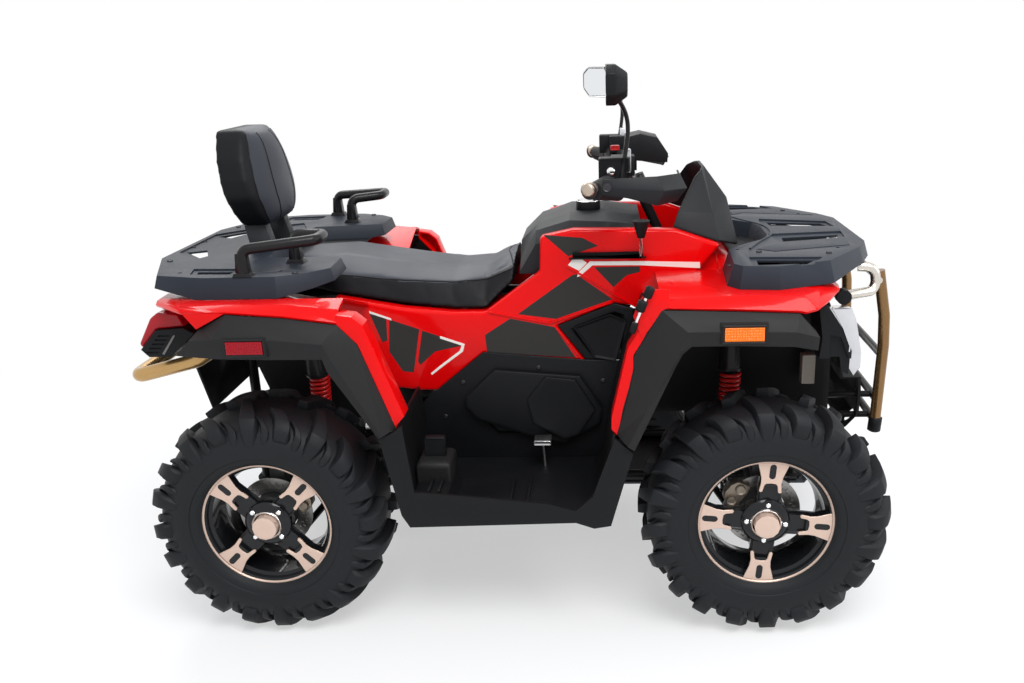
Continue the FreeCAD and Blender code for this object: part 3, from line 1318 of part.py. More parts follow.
def headlamp():
    """Tall lamp beside the nose, its lens reaching further ahead toward the middle."""
    side = [front(286, 413), front(286, 375), front(270, 350), front(250, 383), front(205, 420)]
    outer_face = [front(185, 526), front(256, 528), front(268, 500)] + side
    inner_face = [front(185, 504), front(256, 504), front(268, 490)] + side
    outer = LAMP_OUTER_Y - SEAT_GAP
    inner = NOSE_HALF + SEAT_GAP
    return loft([
        [V(x, -outer, z) for x, z in outer_face],
        [V(x + LAMP_SWEEP, -inner, z) for x, z in inner_face],
    ])


def lamp_shroud():
    """Black surround outboard of a headlamp, stepped in along its lower half."""
    outline = [front(145, 574), front(166, 572), front(206, 512), front(228, 459), front(227, 395),
               front(208, 405), front(203, 441), front(152, 441), front(157, 493)]
    body = side_plate(outline, LAMP_OUTER_Y, SHROUD_OUTER_Y)
    step = [front(175, 500), front(200, 494), front(222, 440), front(280, 440), front(280, 380),
            front(190, 380), front(175, 450)]
    return body.cut(side_plate(step, SHROUD_OUTER_Y - 12.0, SHROUD_OUTER_Y + 5.0))


def front_bumper():
    """Bowed uprights joined by cross tubes, on struts from the frame."""
    bow = ((-26.0, 583.0), (-4.0, 460.0), (0.0, 375.0), (-2.0, 303.0), (-5.0, 216.0), (-8.0, 130.0))
    pieces = []
    for y in (-POST_Y, POST_Y):
        pieces.append(tube([V(BUMPER_X + x, y, DATUM_Z + z) for x, z in bow], POST_R, 90.0))
    for x, z in ((-21.0, 560.0), (-1.0, 345.0), (-5.0, 216.0), (-7.0, 155.0)):
        place = V(BUMPER_X + x, 0, DATUM_Z + z)
        pieces.append(rod(place - LEFT * POST_Y, place + LEFT * POST_Y, BRACKET_R))
    reach = FRONT_AXLE_X + POST_OFFSET + CROSS_R + SEAT_GAP
    for z in STRUT_HEIGHTS:
        for y in (-RAIL_Y, RAIL_Y):
            pieces.append(rod(V(BUMPER_X - 6.0, y, z), V(reach, y, z), STRUT_R))
    return fuse(pieces)


def bumper_loop():
    """Bright loop that stands beside an upright and turns back to an end knob."""
    y = -(POST_Y + POST_R + LOOP_R + SEAT_GAP)
    path = [
        V(BUMPER_X - 88.0, y + 6.0, DATUM_Z + 600.0), V(BUMPER_X - 46.0, y, DATUM_Z + 598.0),
        V(BUMPER_X - 38.0, y, DATUM_Z + 536.0), V(BUMPER_X - 141.0, y - 68.0, DATUM_Z + 540.0),
    ]
    knob = rod(path[3] + LEFT * 12.0, path[3] - LEFT * 16.0, LOOP_R + 6.0)
    lug = V(BUMPER_X - 32.0, y, DATUM_Z + 562.0)
    foot = V(lug.x, -(POST_Y + POST_R + SEAT_GAP), lug.z)
    return fuse([tube(path, LOOP_R, 26.0), knob, rod(lug, foot, 9.0)])


def rear_bumper():
    """Thick tube from the frame round behind the tail."""
    x = -BUMPER_X - POST_R + REAR_TUBE_R
    low = DATUM_Z + 382.0
    side = 395.0
    seat_y = RAIL_Y + RAIL_R + SEAT_GAP
    root = V(REAR_STATION - 155.0, -seat_y, TOP_RAIL_Z)
    half = [
        root, V(root.x, -side + 40.0, TOP_RAIL_Z),
        V(root.x - 62.0, -side, DATUM_Z + 424.0), V(x, -side, low),
    ]
    return tube(half + [V(p.x, -p.y, p.z) for p in reversed(half)], REAR_TUBE_R, 30.0)


REAR_TUBE_R = 19.0
MUD_GUARD_HALF = 285.0
TAIL_HALF = 300.0
TAIL_LAMP_WIDTH = 120.0
TAIL_CHEEK_WIDTH = 130.0
CHEEK_RIBS = 5


def tail_panel():
    """Black moulded tail between the tail lamps, below the rear rack."""
    outline = [rear(-290, 562), rear(-205, 562), rear(-205, 470), rear(-270, 450), rear(-335, 462),
               rear(-340, 500)]
    reach = TOP_RAIL_REAR_X - CROSS_R - SEAT_GAP
    stay = block(REAR_STATION - 240.0, reach, -60.0, 60.0, TOP_RAIL_Z - 12.0, TOP_RAIL_Z + 12.0)
    sheet = [rear(-290, 458), rear(-277, 367), rear(-247, 246),
             rear(-241, 246), rear(-271, 368), rear(-284, 458)]
    opening = muffler_outlet(OUTLET_R + OUTLET_ROOM)
    mud_guard = side_plate(sheet, -MUD_GUARD_HALF, MUD_GUARD_HALF).cut(opening)
    body = side_plate(outline, -TAIL_HALF, TAIL_HALF).fuse([stay, mud_guard]).removeSplitter()
    well_x = REAR_STATION - 332.0
    plate_well = block(well_x - 13.0, well_x, -110.0, 110.0, DATUM_Z + 468.0, DATUM_Z + 498.0)
    return body.cut(plate_well)


def tail_lamp():
    """Red lamp wrapped round the tail's corner, its foot reaching down behind the cheek."""
    outline = [rear(-292, 561), rear(-240, 556), rear(-226, 522), rear(-300, 516), rear(-345, 466),
               rear(-352, 478), rear(-314, 545)]
    inner = TAIL_HALF + SEAT_GAP
    return side_plate(outline, inner, inner + TAIL_LAMP_WIDTH)


def tail_cheek():
    """Black cheek below a tail lamp, with a row of cooling ribs on its outer face."""
    outline = [rear(-226, 521.7), rear(-300, 515.6), rear(-344, 466), rear(-325, 446), rear(-268, 446),
               rear(-200, 507)]
    inner = TAIL_HALF + SEAT_GAP
    outer = inner + TAIL_CHEEK_WIDTH
    body = side_plate(outline, inner, outer)
    grooves = []
    for rib in range(CHEEK_RIBS):
        z = 456.0 + 11.0 * rib
        groove = [rear(-332.0 + 9.0 * rib, z), rear(-300.0 + 9.0 * rib, z), rear(-296.0 + 9.0 * rib, z + 5.0),
                  rear(-328.0 + 9.0 * rib, z + 5.0)]
        grooves.append(side_plate(groove, outer - 4.0, outer + 5.0))
    return body.cut(grooves)


def reflector(corner, length, height):
    x, z = corner
    face = FLARE_RIDGE_Y + 1.0 + SEAT_GAP
    return block(x, x + length, -face - REFLECTOR_WALL, -face, z, z + height)


def build():
    sided = (
        ("tyre_front", tyre(FRONT_TYRE_WIDTH, FRONT_AXLE_X)),
        ("tyre_rear", tyre(REAR_TYRE_WIDTH, REAR_AXLE_X)),
        ("rim_front", rim(FRONT_TYRE_WIDTH, FRONT_AXLE_X, 5.0)),
        ("rim_rear", rim(REAR_TYRE_WIDTH, REAR_AXLE_X, 45.0)),
        ("knuckle", knuckle()), ("tie_rod", tie_rod()),
    )
    for name, shape in sided:
        save(name + "_right", [shape])
        save(name + "_left", [mirrored(shape)])
    front_leg = (FRONT_AXLE_X, -FRONT_DAMPER_BACK, FRONT_DAMPER_TOP_Y)
    rear_leg = (REAR_AXLE_X, REAR_DAMPER_AHEAD, REAR_DAMPER_TOP_Y)
    pairs = (
        ("hub_carriers", [carrier(REAR_AXLE_X)]),
        ("suspension_arms", [wishbone(x, upper, KINGPIN_Y) for x in AXLES_X for upper in (True, False)]),
        ("dampers", [damper(*front_leg), damper(*rear_leg)]),
        ("springs", [spring(*front_leg), spring(*rear_leg)]),
        ("grips", [grip()]),
        ("hand_guards", [hand_guard()]),
        ("mirrors", [mirror().fuse(mirror_stem())]),
        ("bumper_loops", [bumper_loop()]),
        ("rear_wings", [rear_wing()]),
        ("wheel_arch_flares", [front_flare(), rear_flare()]),
        ("side_panels", [side_panel()]),
        ("side_covers", [side_cover(), vent_cover()]),
        ("footwells", [footwell()]),
        ("grab_handles", [grab_handle()]),
        ("backrest_mount", [backrest_mount()]),
        ("headlamps", [headlamp()]),
        ("tail_lamps", [tail_lamp()]),
        ("reflectors_front", [reflector(front_reflector_corner(), *FRONT_REFLECTOR)]),
        ("reflectors_rear", [reflector(rear_reflector_corner(), *REAR_REFLECTOR)]),
    )
    for name, shapes in pairs:
        save(name, shapes + [mirrored(shape) for shape in shapes])
    middle = (
        ("drivetrain", [piece for x in AXLES_X for piece in (differential(x), *both_sides(half_shaft(x)))]),
        ("frame", [frame()]), ("belly_plate", [belly_plate()]),
        ("engine", [engine()]), ("muffler", [muffler()]),
        ("steering_column", [column()]), ("handlebar", [handlebar()]),
        ("controls", [dash_pod()] + both_sides(switchgear())),
        ("front_wings", [hood()] + both_sides(front_wing())),
        ("tank_cover", [tank_cover()]), ("seat", [seat()]), ("fuel_cap", [fuel_cap()]),
        ("cowl", [cowl()]), ("gear_lever", [gear_lever()]), ("front_rack", [front_rack()]),
        ("rear_rack", [rear_rack()]), ("backrest_pad", [backrest_pad()]),
        ("nose", [nose()] + both_sides(lamp_shroud())),
        ("bumpers", [front_bumper(), rear_bumper()]),
        ("tail_panel", [tail_panel()] + both_sides(tail_cheek())),
    )
    for name, shapes in middle:
        save(name, shapes)


os.makedirs("parts", exist_ok=True)
build()
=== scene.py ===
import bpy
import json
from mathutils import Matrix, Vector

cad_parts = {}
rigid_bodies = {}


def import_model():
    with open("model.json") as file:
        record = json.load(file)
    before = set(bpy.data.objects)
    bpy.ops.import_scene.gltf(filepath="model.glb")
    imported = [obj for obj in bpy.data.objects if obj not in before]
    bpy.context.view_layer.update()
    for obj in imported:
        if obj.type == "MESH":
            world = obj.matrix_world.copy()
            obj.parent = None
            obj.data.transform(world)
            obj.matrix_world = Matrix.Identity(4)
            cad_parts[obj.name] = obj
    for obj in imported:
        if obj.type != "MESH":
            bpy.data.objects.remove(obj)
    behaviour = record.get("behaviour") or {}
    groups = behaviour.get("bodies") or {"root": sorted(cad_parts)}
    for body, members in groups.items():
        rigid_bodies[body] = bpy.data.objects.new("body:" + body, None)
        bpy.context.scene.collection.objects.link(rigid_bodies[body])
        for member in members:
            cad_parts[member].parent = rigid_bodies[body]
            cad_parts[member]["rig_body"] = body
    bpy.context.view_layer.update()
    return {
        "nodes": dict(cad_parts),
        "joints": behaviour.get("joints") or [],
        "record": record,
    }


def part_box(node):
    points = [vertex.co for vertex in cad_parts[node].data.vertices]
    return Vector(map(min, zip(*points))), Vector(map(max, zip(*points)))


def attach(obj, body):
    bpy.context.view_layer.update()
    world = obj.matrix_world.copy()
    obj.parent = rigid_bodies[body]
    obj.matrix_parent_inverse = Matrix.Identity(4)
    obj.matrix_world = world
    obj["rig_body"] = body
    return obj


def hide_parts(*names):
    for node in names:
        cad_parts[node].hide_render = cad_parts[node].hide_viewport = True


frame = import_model()

import json
import math

import bpy
from mathutils import Matrix, Vector

# Camera: a normal lens held at head height beside the vehicle's right flank, a little
# ahead of its middle, tilted down so that the seat and both racks show their tops.
CAMERA_PLACE = Vector((0.2447, -2.6414, 1.4707))
CAMERA_TURN = math.radians(3.478)
CAMERA_TILT = math.radians(17.557)
CAMERA_ROLL = math.radians(-1.904)
SENSOR_WIDTH = 36.0
LENS_LENGTH = 32.78
LENS_SHIFT = (-0.0393, 0.0008)
camera_data = bpy.data.cameras.new("camera")
camera_data.sensor_width = SENSOR_WIDTH
camera_data.lens = LENS_LENGTH
camera_data.shift_x, camera_data.shift_y = LENS_SHIFT
camera = bpy.data.objects.new("camera", camera_data)
bpy.context.scene.collection.objects.link(camera)
aim = Matrix.Rotation(CAMERA_TURN, 4, "Z") @ Matrix.Rotation(math.pi / 2 - CAMERA_TILT, 4, "X")
camera.matrix_world = Matrix.Translation(CAMERA_PLACE) @ aim @ Matrix.Rotation(CAMERA_ROLL, 4, "Z")
bpy.context.scene.camera = camera

# Studio: a pale floor that keeps the shadow and fades to white away from the vehicle,
# one broad lamp high on the camera's side, a weaker one behind and one ahead.
FLOOR_HALF = 40.0
FLOOR_COLOUR = (0.90, 0.90, 0.90, 1.0)
FADE_FROM, FADE_TO = 1.2, 3.2
FLOOR_GLOW_NEAR = 0.5
SKY_COLOUR, SKY_STRENGTH = (0.90, 0.94, 1.0, 1.0), 0.66
WHITE = (1.0, 1.0, 1.0, 1.0)
# Name, place, what it faces, width and height of its panel, and power in watts.
LAMPS = (
    ("key_lamp", (1.2, -3.0, 4.8), (0.0, 0.0, 0.5), (3.2, 2.2), 210.0),
    ("back_lamp", (-1.5, 3.0, 4.2), (0.0, 0.0, 0.8), (3.5, 2.0), 110.0),
    ("front_lamp", (4.4, -0.6, 2.4), (0.3, 0.0, 0.6), (2.0, 2.0), 50.0),
)
bpy.context.scene.view_settings.view_transform = "Standard"


def new_material(name):
    material = bpy.data.materials.new(name)
    material.use_nodes = True
    return material, material.node_tree.nodes, material.node_tree.links


def math_node(nodes, links, operation, *values):
    """A Math node, each value a number or the socket that it comes from."""
    node = nodes.new("ShaderNodeMath")
    node.operation = operation
    for socket, value in zip(node.inputs, values):
        if isinstance(value, bpy.types.NodeSocket):
            links.new(value, socket)
        else:
            socket.default_value = value
    return node


def seen_directly(nodes, links):
    """Light Path: 1 for rays from the camera, off gloss and through glass."""
    path = nodes.new("ShaderNodeLightPath").outputs
    first = math_node(nodes, links, "MAXIMUM", path["Is Camera Ray"], path["Is Glossy Ray"])
    both = math_node(nodes, links, "MAXIMUM", first.outputs[0], path["Is Transmission Ray"])
    return both.outputs[0]


def mixed(nodes, links, share, first, second, output):
    """Two shaders mixed by a share, on their way to the tree's output."""
    mix = nodes.new("ShaderNodeMixShader")
    for value, socket in zip((share, first, second), mix.inputs):
        links.new(value, socket)
    links.new(mix.outputs["Shader"], nodes[output].inputs["Surface"])


def studio_floor():
    """Pale concrete near the wheels, pure white where it runs out of the picture."""
    material, nodes, links = new_material("studio_floor")
    shader = nodes["Principled BSDF"]
    shader.inputs["Base Color"].default_value = FLOOR_COLOUR
    shader.inputs["Roughness"].default_value = 0.9
    shader.inputs["Specular IOR Level"].default_value = 0.0
    white = nodes.new("ShaderNodeEmission")
    place = nodes.new("ShaderNodeTexCoord")
    away = nodes.new("ShaderNodeVectorMath")
    away.operation = "LENGTH"
    links.new(place.outputs["Object"], away.inputs[0])
    fade = nodes.new("ShaderNodeMapRange")
    fade.interpolation_type = "SMOOTHSTEP"
    fade.inputs["From Min"].default_value = FADE_FROM
    fade.inputs["From Max"].default_value = FADE_TO
    fade.inputs["To Min"].default_value = FLOOR_GLOW_NEAR
    links.new(away.outputs["Value"], fade.inputs["Value"])
    share = math_node(nodes, links, "MULTIPLY", fade.outputs["Result"],
                      seen_directly(nodes, links))
    mixed(nodes, links, share.outputs[0], shader.outputs["BSDF"], white.outputs["Emission"],
          "Material Output")
    return material


bpy.ops.mesh.primitive_plane_add(size=2 * FLOOR_HALF, location=(0, 0, 0))
floor = bpy.context.object
floor.name = "floor"
floor.data.materials.append(studio_floor())

world = bpy.data.worlds.new("daylight_studio")
bpy.context.scene.world = world
world.use_nodes = True
sky_nodes, sky_links = world.node_tree.nodes, world.node_tree.links
sky = sky_nodes["Background"]
sky.inputs["Color"].default_value = SKY_COLOUR
sky.inputs["Strength"].default_value = SKY_STRENGTH
backdrop = sky_nodes.new("ShaderNodeBackground")
backdrop.inputs["Color"].default_value = WHITE
backdrop.inputs["Strength"].default_value = 1.0
mixed(sky_nodes, sky_links, seen_directly(sky_nodes, sky_links), sky.outputs["Background"],
      backdrop.outputs["Background"], "World Output")

for name, place, target, (width, height), power in LAMPS:
    lamp_data = bpy.data.lights.new(name, "AREA")
    lamp_data.shape = "RECTANGLE"
    lamp_data.size, lamp_data.size_y = width, height
    lamp_data.energy = power
    lamp = bpy.data.objects.new(name, lamp_data)
    bpy.context.scene.collection.objects.link(lamp)
    toward = (Vector(target) - Vector(place)).to_track_quat("-Z", "Y").to_matrix().to_4x4()
    lamp.matrix_world = Matrix.Translation(place) @ toward

# Frame and running gear: welded steel tube and forged arms under black paint, cast axle
# housings, knuckles and hub carriers left as cast, and plated tie rods.
EDGE_SOFT = 0.0015
SAME_POINT = 0.00002
COAT_ROUGHNESS = 0.04
COAT_IOR = 1.3
# What the group "uneven surface" takes, and the value each socket starts with.
SURFACE_INPUTS = (
    ("Colour", "NodeSocketColor", (0.5, 0.5, 0.5, 1.0)), ("Tone", "NodeSocketFloat", 0.1),
    ("Tone Scale", "NodeSocketFloat", 12.0), ("Roughness", "NodeSocketFloat", 0.5),
    ("Spread", "NodeSocketFloat", 0.08), ("Grain Scale", "NodeSocketFloat", 900.0),
    ("Grain Depth", "NodeSocketFloat", 0.1),
)
SURFACE_OUTPUTS = (("Colour", "NodeSocketColor"), ("Roughness", "NodeSocketFloat"),
                   ("Normal", "NodeSocketVector"))


def build_uneven_surface():
    """Node group: mottled colour, uneven roughness and a fine bump, in object space."""
    group = bpy.data.node_groups.new("uneven_surface", "ShaderNodeTree")
    for name, kind, default in SURFACE_INPUTS:
        socket = group.interface.new_socket(name=name, in_out="INPUT", socket_type=kind)
        socket.default_value = default
    for name, kind in SURFACE_OUTPUTS:
        group.interface.new_socket(name=name, in_out="OUTPUT", socket_type=kind)
    nodes, links = group.nodes, group.links
    given = nodes.new("NodeGroupInput").outputs
    result = nodes.new("NodeGroupOutput").inputs
    place = nodes.new("ShaderNodeTexCoord").outputs["Object"]

    def noise(scale, detail):
        texture = nodes.new("ShaderNodeTexNoise")
        texture.inputs["Detail"].default_value = detail
        links.new(place, texture.inputs["Vector"])
        links.new(given[scale], texture.inputs["Scale"])
        return texture.outputs["Fac"]

    centred = math_node(nodes, links, "MULTIPLY_ADD", noise("Tone Scale", 4.0), 2.0, -1.0)
    gain = math_node(nodes, links, "MULTIPLY_ADD", centred.outputs[0], given["Tone"], 1.0)
    shaded = nodes.new("ShaderNodeVectorMath")
    shaded.operation = "SCALE"
    links.new(given["Colour"], shaded.inputs[0])
    links.new(gain.outputs[0], shaded.inputs["Scale"])
    links.new(shaded.outputs["Vector"], result["Colour"])
    rough = math_node(nodes, links, "MULTIPLY_ADD", centred.outputs[0], given["Spread"],
                      given["Roughness"])
    rough.use_clamp = True
    links.new(rough.outputs[0], result["Roughness"])
    bump = nodes.new("ShaderNodeBump")
    bump.inputs["Distance"].default_value = 0.001
    links.new(given["Grain Depth"], bump.inputs["Strength"])
    links.new(noise("Grain Scale", 2.0), bump.inputs["Height"])
    links.new(bump.outputs["Normal"], result["Normal"])
    return group


uneven_surface = build_uneven_surface()


def finish(name, colour, roughness, metallic=0.0, coat=0.0, tone=0.1, tone_scale=12.0,
           spread=0.08, grain_scale=900.0, grain_depth=0.1, specular=0.15):
    """A material made from the uneven surface and one shader."""
    material, nodes, links = new_material(name)
    shader = nodes["Principled BSDF"]
    effect = nodes.new("ShaderNodeGroup")
    effect.node_tree = uneven_surface
    values = ((*colour, 1.0), tone, tone_scale, roughness, spread, grain_scale, grain_depth)
    for (socket, _, _), value in zip(SURFACE_INPUTS, values):
        effect.inputs[socket].default_value = value
    for output, socket in (("Colour", "Base Color"), ("Roughness", "Roughness"),
                           ("Normal", "Normal")):
        links.new(effect.outputs[output], shader.inputs[socket])
    shader.inputs["Metallic"].default_value = metallic
    shader.inputs["Coat Weight"].default_value = coat
    shader.inputs["Coat Roughness"].default_value = COAT_ROUGHNESS
    shader.inputs["Coat IOR"].default_value = COAT_IOR
    shader.inputs["Specular IOR Level"].default_value = specular
    return material


def select_only(piece):
    bpy.ops.object.select_all(action="DESELECT")
    piece.select_set(True)
    bpy.context.view_layer.objects.active = piece


def smooth(piece, angle):
    """Smooth shading, apart from edges sharper than the angle."""
    select_only(piece)
    bpy.ops.object.shade_smooth_by_angle(angle=math.radians(angle))


def modified(piece, name, kind, **settings):
    """Gives the piece one modifier and applies it."""
    select_only(piece)
    modifier = piece.modifiers.new(name, kind)
    for setting, value in settings.items():
        setattr(modifier, setting, value)
    bpy.ops.object.modifier_apply(modifier=modifier.name)


def merge_and_clean(piece, flat_angle=0.6):
    """Edit mode: join loose triangles at their shared corners and drop flat edges."""
    select_only(piece)
    bpy.ops.object.mode_set(mode="EDIT")
    bpy.ops.mesh.select_all(action="SELECT")
    bpy.ops.mesh.remove_doubles(threshold=SAME_POINT)
    bpy.ops.mesh.dissolve_limited(angle_limit=math.radians(flat_angle))
    bpy.ops.object.mode_set(mode="OBJECT")


def soften(piece, width, segments=2, angle=28.0):
    """Rounded edges, as a mould or a die leaves them, then smooth shading."""
    modified(piece, "rounded_edges", "BEVEL", width=width, segments=segments,
             limit_method="ANGLE", angle_limit=math.radians(angle))
    smooth(piece, 32.0)


def settle(piece, body, slot, *materials):
    """The last step of every new piece: its finishes and its body; its slot is not used."""
    if materials:
        piece.data.materials.clear()
    for material in materials:
        piece.data.materials.append(material)
    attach(piece, body)
    return piece


def paint_faces(piece, material, chosen):
    """Gives the faces that chosen(centre, normal) picks a finish of their own."""
    piece.data.materials.append(material)
    index = len(piece.data.materials) - 1
    for face in piece.data.polygons:
        if chosen(face.center, face.normal):
            face.material_index = index


slot_of = {part["node"]: part["material_slot"] for part in frame["record"]["subparts"]}


def merged_copy(node, name):
    """A copy of a CAD piece in one skin, for a new piece to start from."""
    piece = bpy.data.objects.new(name, frame["nodes"][node].data.copy())
    bpy.context.scene.collection.objects.link(piece)
    merge_and_clean(piece)
    return piece


def dressed(node, material, width=EDGE_SOFT, segments=2, angle=28.0):
    """A merged, softened copy of a CAD piece, in its place and on its body."""
    piece = merged_copy(node, node + "_skin")
    soften(piece, width, segments, angle)
    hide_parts(node)
    return settle(piece, frame["nodes"][node]["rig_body"], slot_of[node], material)


black_paint = finish("black_frame_paint", (0.010, 0.010, 0.011), 0.40, coat=0.4,
                     grain_scale=260.0, grain_depth=0.05)
cast_metal = finish("cast_metal", (0.10, 0.10, 0.10), 0.50, metallic=0.7, tone=0.2,
                    grain_scale=420.0, grain_depth=0.35)
plated_steel = finish("plated_steel", (0.55, 0.55, 0.56), 0.32, metallic=1.0, tone=0.08)
for material, nodes in (
        (black_paint, ("frame", "suspension_arms", "steering_column")),
        (cast_metal, ("knuckle_right", "knuckle_left", "hub_carriers", "drivetrain")),
        (plated_steel, ("tie_rod_right", "tie_rod_left"))):
    for node in nodes:
        dressed(node, material)

# Coil-over units: red enamelled spring wire between black seats, on a black damper with a
# brass preload collar at the lower seat. The coil is wound round the damper's own line.
SPRING_MID_R = 0.024
WIRE_R = 0.0052
SPRING_TURNS = 7
STEPS_A_TURN = 16
SPRING_END = 0.030
COLLAR_R = 0.0315
COLLAR_LENGTH = 0.014
COLLAR_DROP = 0.016
NOTCH_DEPTH = 0.002


def wire_curve(name, points, radius, smooth_line=False, resolution=4):
    """A round bar along points: a drawn path given a thickness and made a mesh."""
    data = bpy.data.curves.new(name, "CURVE")
    data.dimensions = "3D"
    data.bevel_depth = radius
    data.bevel_resolution = resolution
    data.use_fill_caps = True
    spline = data.splines.new("NURBS" if smooth_line else "POLY")
    spline.points.add(len(points) - 1)
    for point, place in zip(spline.points, points):
        point.co = (*place, 1.0)
    if smooth_line:
        spline.order_u = 4
        spline.use_endpoint_u = True
        data.resolution_u = 6
    piece = bpy.data.objects.new(name, data)
    bpy.context.scene.collection.objects.link(piece)
    select_only(piece)
    bpy.ops.object.convert(target="MESH")
    piece = bpy.context.object
    smooth(piece, 40.0)
    return piece


def started_as(name, add_primitive, **sizes):
    """A primitive to be shaped, added with nothing else selected."""
    bpy.ops.object.select_all(action="DESELECT")
    add_primitive(**sizes)
    piece = bpy.context.object
    piece.name = name
    return piece


def select_faces(piece, wanted):
    """Leaves the piece in edit mode with the faces selected that wanted(face) picks."""
    select_only(piece)
    bpy.ops.object.mode_set(mode="EDIT")
    bpy.ops.mesh.select_all(action="DESELECT")
    bpy.ops.mesh.select_mode(type="FACE")
    bpy.ops.object.mode_set(mode="OBJECT")
    for face in piece.data.polygons:
        face.select = wanted(face)
    bpy.ops.object.mode_set(mode="EDIT")


def stand_along(piece, direction, place):
    """Turns the piece's own Z to a direction and moves it to its place."""
    turn = Vector(direction).to_track_quat("Z", "Y").to_matrix().to_4x4()
    piece.data.transform(Matrix.Translation(place) @ turn)


def collar(name, foot, line, radius, length, teeth=24):
    """A notched ring: a cylinder with every other face of its side pushed in."""
    piece = started_as(name, bpy.ops.mesh.primitive_cylinder_add, vertices=teeth * 2,
                       radius=radius, depth=length)

    def notch(face):
        angle = math.atan2(face.normal.y, face.normal.x) / math.tau * teeth
        return abs(face.normal.z) < 0.5 and (angle % 1.0) < 0.5

    select_faces(piece, notch)
    bpy.ops.mesh.extrude_region_shrink_fatten(TRANSFORM_OT_shrink_fatten={"value": -NOTCH_DEPTH})
    bpy.ops.object.mode_set(mode="OBJECT")
    stand_along(piece, line, foot)
    return piece


def joined(pieces, name):
    if len(pieces) > 1:
        select_only(pieces[0])
        for piece in pieces[1:]:
            piece.select_set(True)
        bpy.ops.object.join()
    pieces[0].name = name
    return pieces[0]


def spring_line(points):
    """Middle line of one CAD coil, from the two ends of its points."""
    foot, head = min(p.z for p in points), max(p.z for p in points)
    lowest = [p for p in points if p.z < foot + SPRING_END]
    highest = [p for p in points if p.z > head - SPRING_END]
    return sum(lowest, Vector()) / len(lowest), sum(highest, Vector()) / len(highest)


spring_red = finish("spring_red", (0.55, 0.010, 0.010), 0.30, coat=0.8, tone=0.05)
brass = finish("brass_collar", (0.62, 0.42, 0.14), 0.34, metallic=1.0, tone=0.12,
               grain_depth=0.05)
dressed("dampers", black_paint)
coils, collars = [], []
coil_points = [vertex.co.copy() for vertex in frame["nodes"]["springs"].data.vertices]
for forward in (1, -1):
    for side in (-1, 1):
        own = [p for p in coil_points if p.x * forward > 0 and p.y * side > 0]
        low, high = spring_line(own)
        axis = (high - low).normalized()
        across = axis.cross(Vector((1, 0, 0))).normalized()
        beside = axis.cross(across)
        reach = [(p - low).dot(axis) for p in own]
        start, end = min(reach) + WIRE_R, max(reach) - WIRE_R
        path = []
        steps = SPRING_TURNS * STEPS_A_TURN
        for step in range(steps + 1):
            turn = math.tau * step / STEPS_A_TURN
            outward = across * math.cos(turn) + beside * math.sin(turn)
            path.append(low + axis * (start + (end - start) * step / steps)
                        + outward * SPRING_MID_R)
        coils.append(wire_curve("coil", path, WIRE_R, resolution=3))
        collars.append(collar("collar", low + axis * (start - COLLAR_DROP), axis, COLLAR_R,
                              COLLAR_LENGTH))
coils = joined(coils, "coil_springs")
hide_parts("springs")
settle(coils, "chassis", "spring_red", spring_red)
settle(joined(collars, "preload_collars"), "chassis", "damper_black", brass)

# Power unit: a cast engine block low in the frame with cooling fins, a grey skid plate
# under it, and a brushed steel silencer at the tail.
engine_metal = finish("engine_metal", (0.14, 0.14, 0.14), 0.45, metallic=0.8, tone=0.2,
                      grain_depth=0.4)
skid_grey = finish("skid_plate_grey", (0.09, 0.095, 0.105), 0.50, tone=0.15,
                   grain_scale=700.0, grain_depth=0.2)
brushed_steel = finish("brushed_steel", (0.50, 0.49, 0.47), 0.36, metallic=1.0, tone=0.15,
                       tone_scale=40.0)
dressed("engine", engine_metal, 0.004, 3)
dressed("belly_plate", skid_grey)
dressed("muffler", brushed_steel)

# Tyres: soft mud tyres of black rubber, moulded in one piece. Lugs stand in a V from the
# crown over the shoulders, long and short by turns, and taper out down the sidewall.
# Sections hold (share of the half width, radius), and widths run along the lug.
TYRE_SECTION = (
    (0.0, 0.2950), (0.30, 0.2940), (0.55, 0.2885), (0.76, 0.2765), (0.90, 0.2580),
    (0.975, 0.2360), (0.995, 0.2130), (0.975, 0.1960), (0.955, 0.1945), (0.940, 0.1860),
    (0.880, 0.1740),
)
TYRE_STEPS = 96
TYRE_BULGE = 0.024
FLANGE_R = 0.1690
BEAD_R, BEAD_IN = 0.1600, 0.006
LONG_TOP = ((0.03, 0.3175), (0.34, 0.3170), (0.62, 0.3110), (0.84, 0.2985), (0.955, 0.2790),
            (0.995, 0.2560), (0.998, 0.2330))
LONG_BASE = ((0.03, 0.2880), (0.34, 0.2880), (0.60, 0.2790), (0.79, 0.2660), (0.89, 0.2500),
             (0.94, 0.2380), (0.96, 0.2260))
LONG_WIDTH = (0.030, 0.034, 0.044, 0.050, 0.042, 0.030, 0.022)
SHORT_TOP = ((0.50, 0.3140), (0.66, 0.3100), (0.84, 0.2985), (0.955, 0.2830), (0.990, 0.2680),
             (0.992, 0.2600))
SHORT_BASE = ((0.48, 0.2840), (0.62, 0.2780), (0.79, 0.2660), (0.88, 0.2520), (0.92, 0.2470),
              (0.93, 0.2440))
SHORT_WIDTH = (0.034, 0.040, 0.046, 0.046, 0.038, 0.032)
# Low chevron blocks between the lugs' feet.
WEB_TOP = ((0.62, 0.2960), (0.78, 0.2880), (0.90, 0.2740), (0.965, 0.2560), (0.990, 0.2400))
WEB_BASE = ((0.60, 0.2800), (0.74, 0.2720), (0.86, 0.2580), (0.93, 0.2420), (0.95, 0.2320))
WEB_WIDTH = (0.010, 0.016, 0.022, 0.020, 0.008)
LUGS_A_SIDE = 20
LUG_LEAN = math.radians(7.0)
LUG_TOP_WIDTH, LUG_FOOT_WIDTH = 0.80, 1.04
LUG_REACH = 0.999


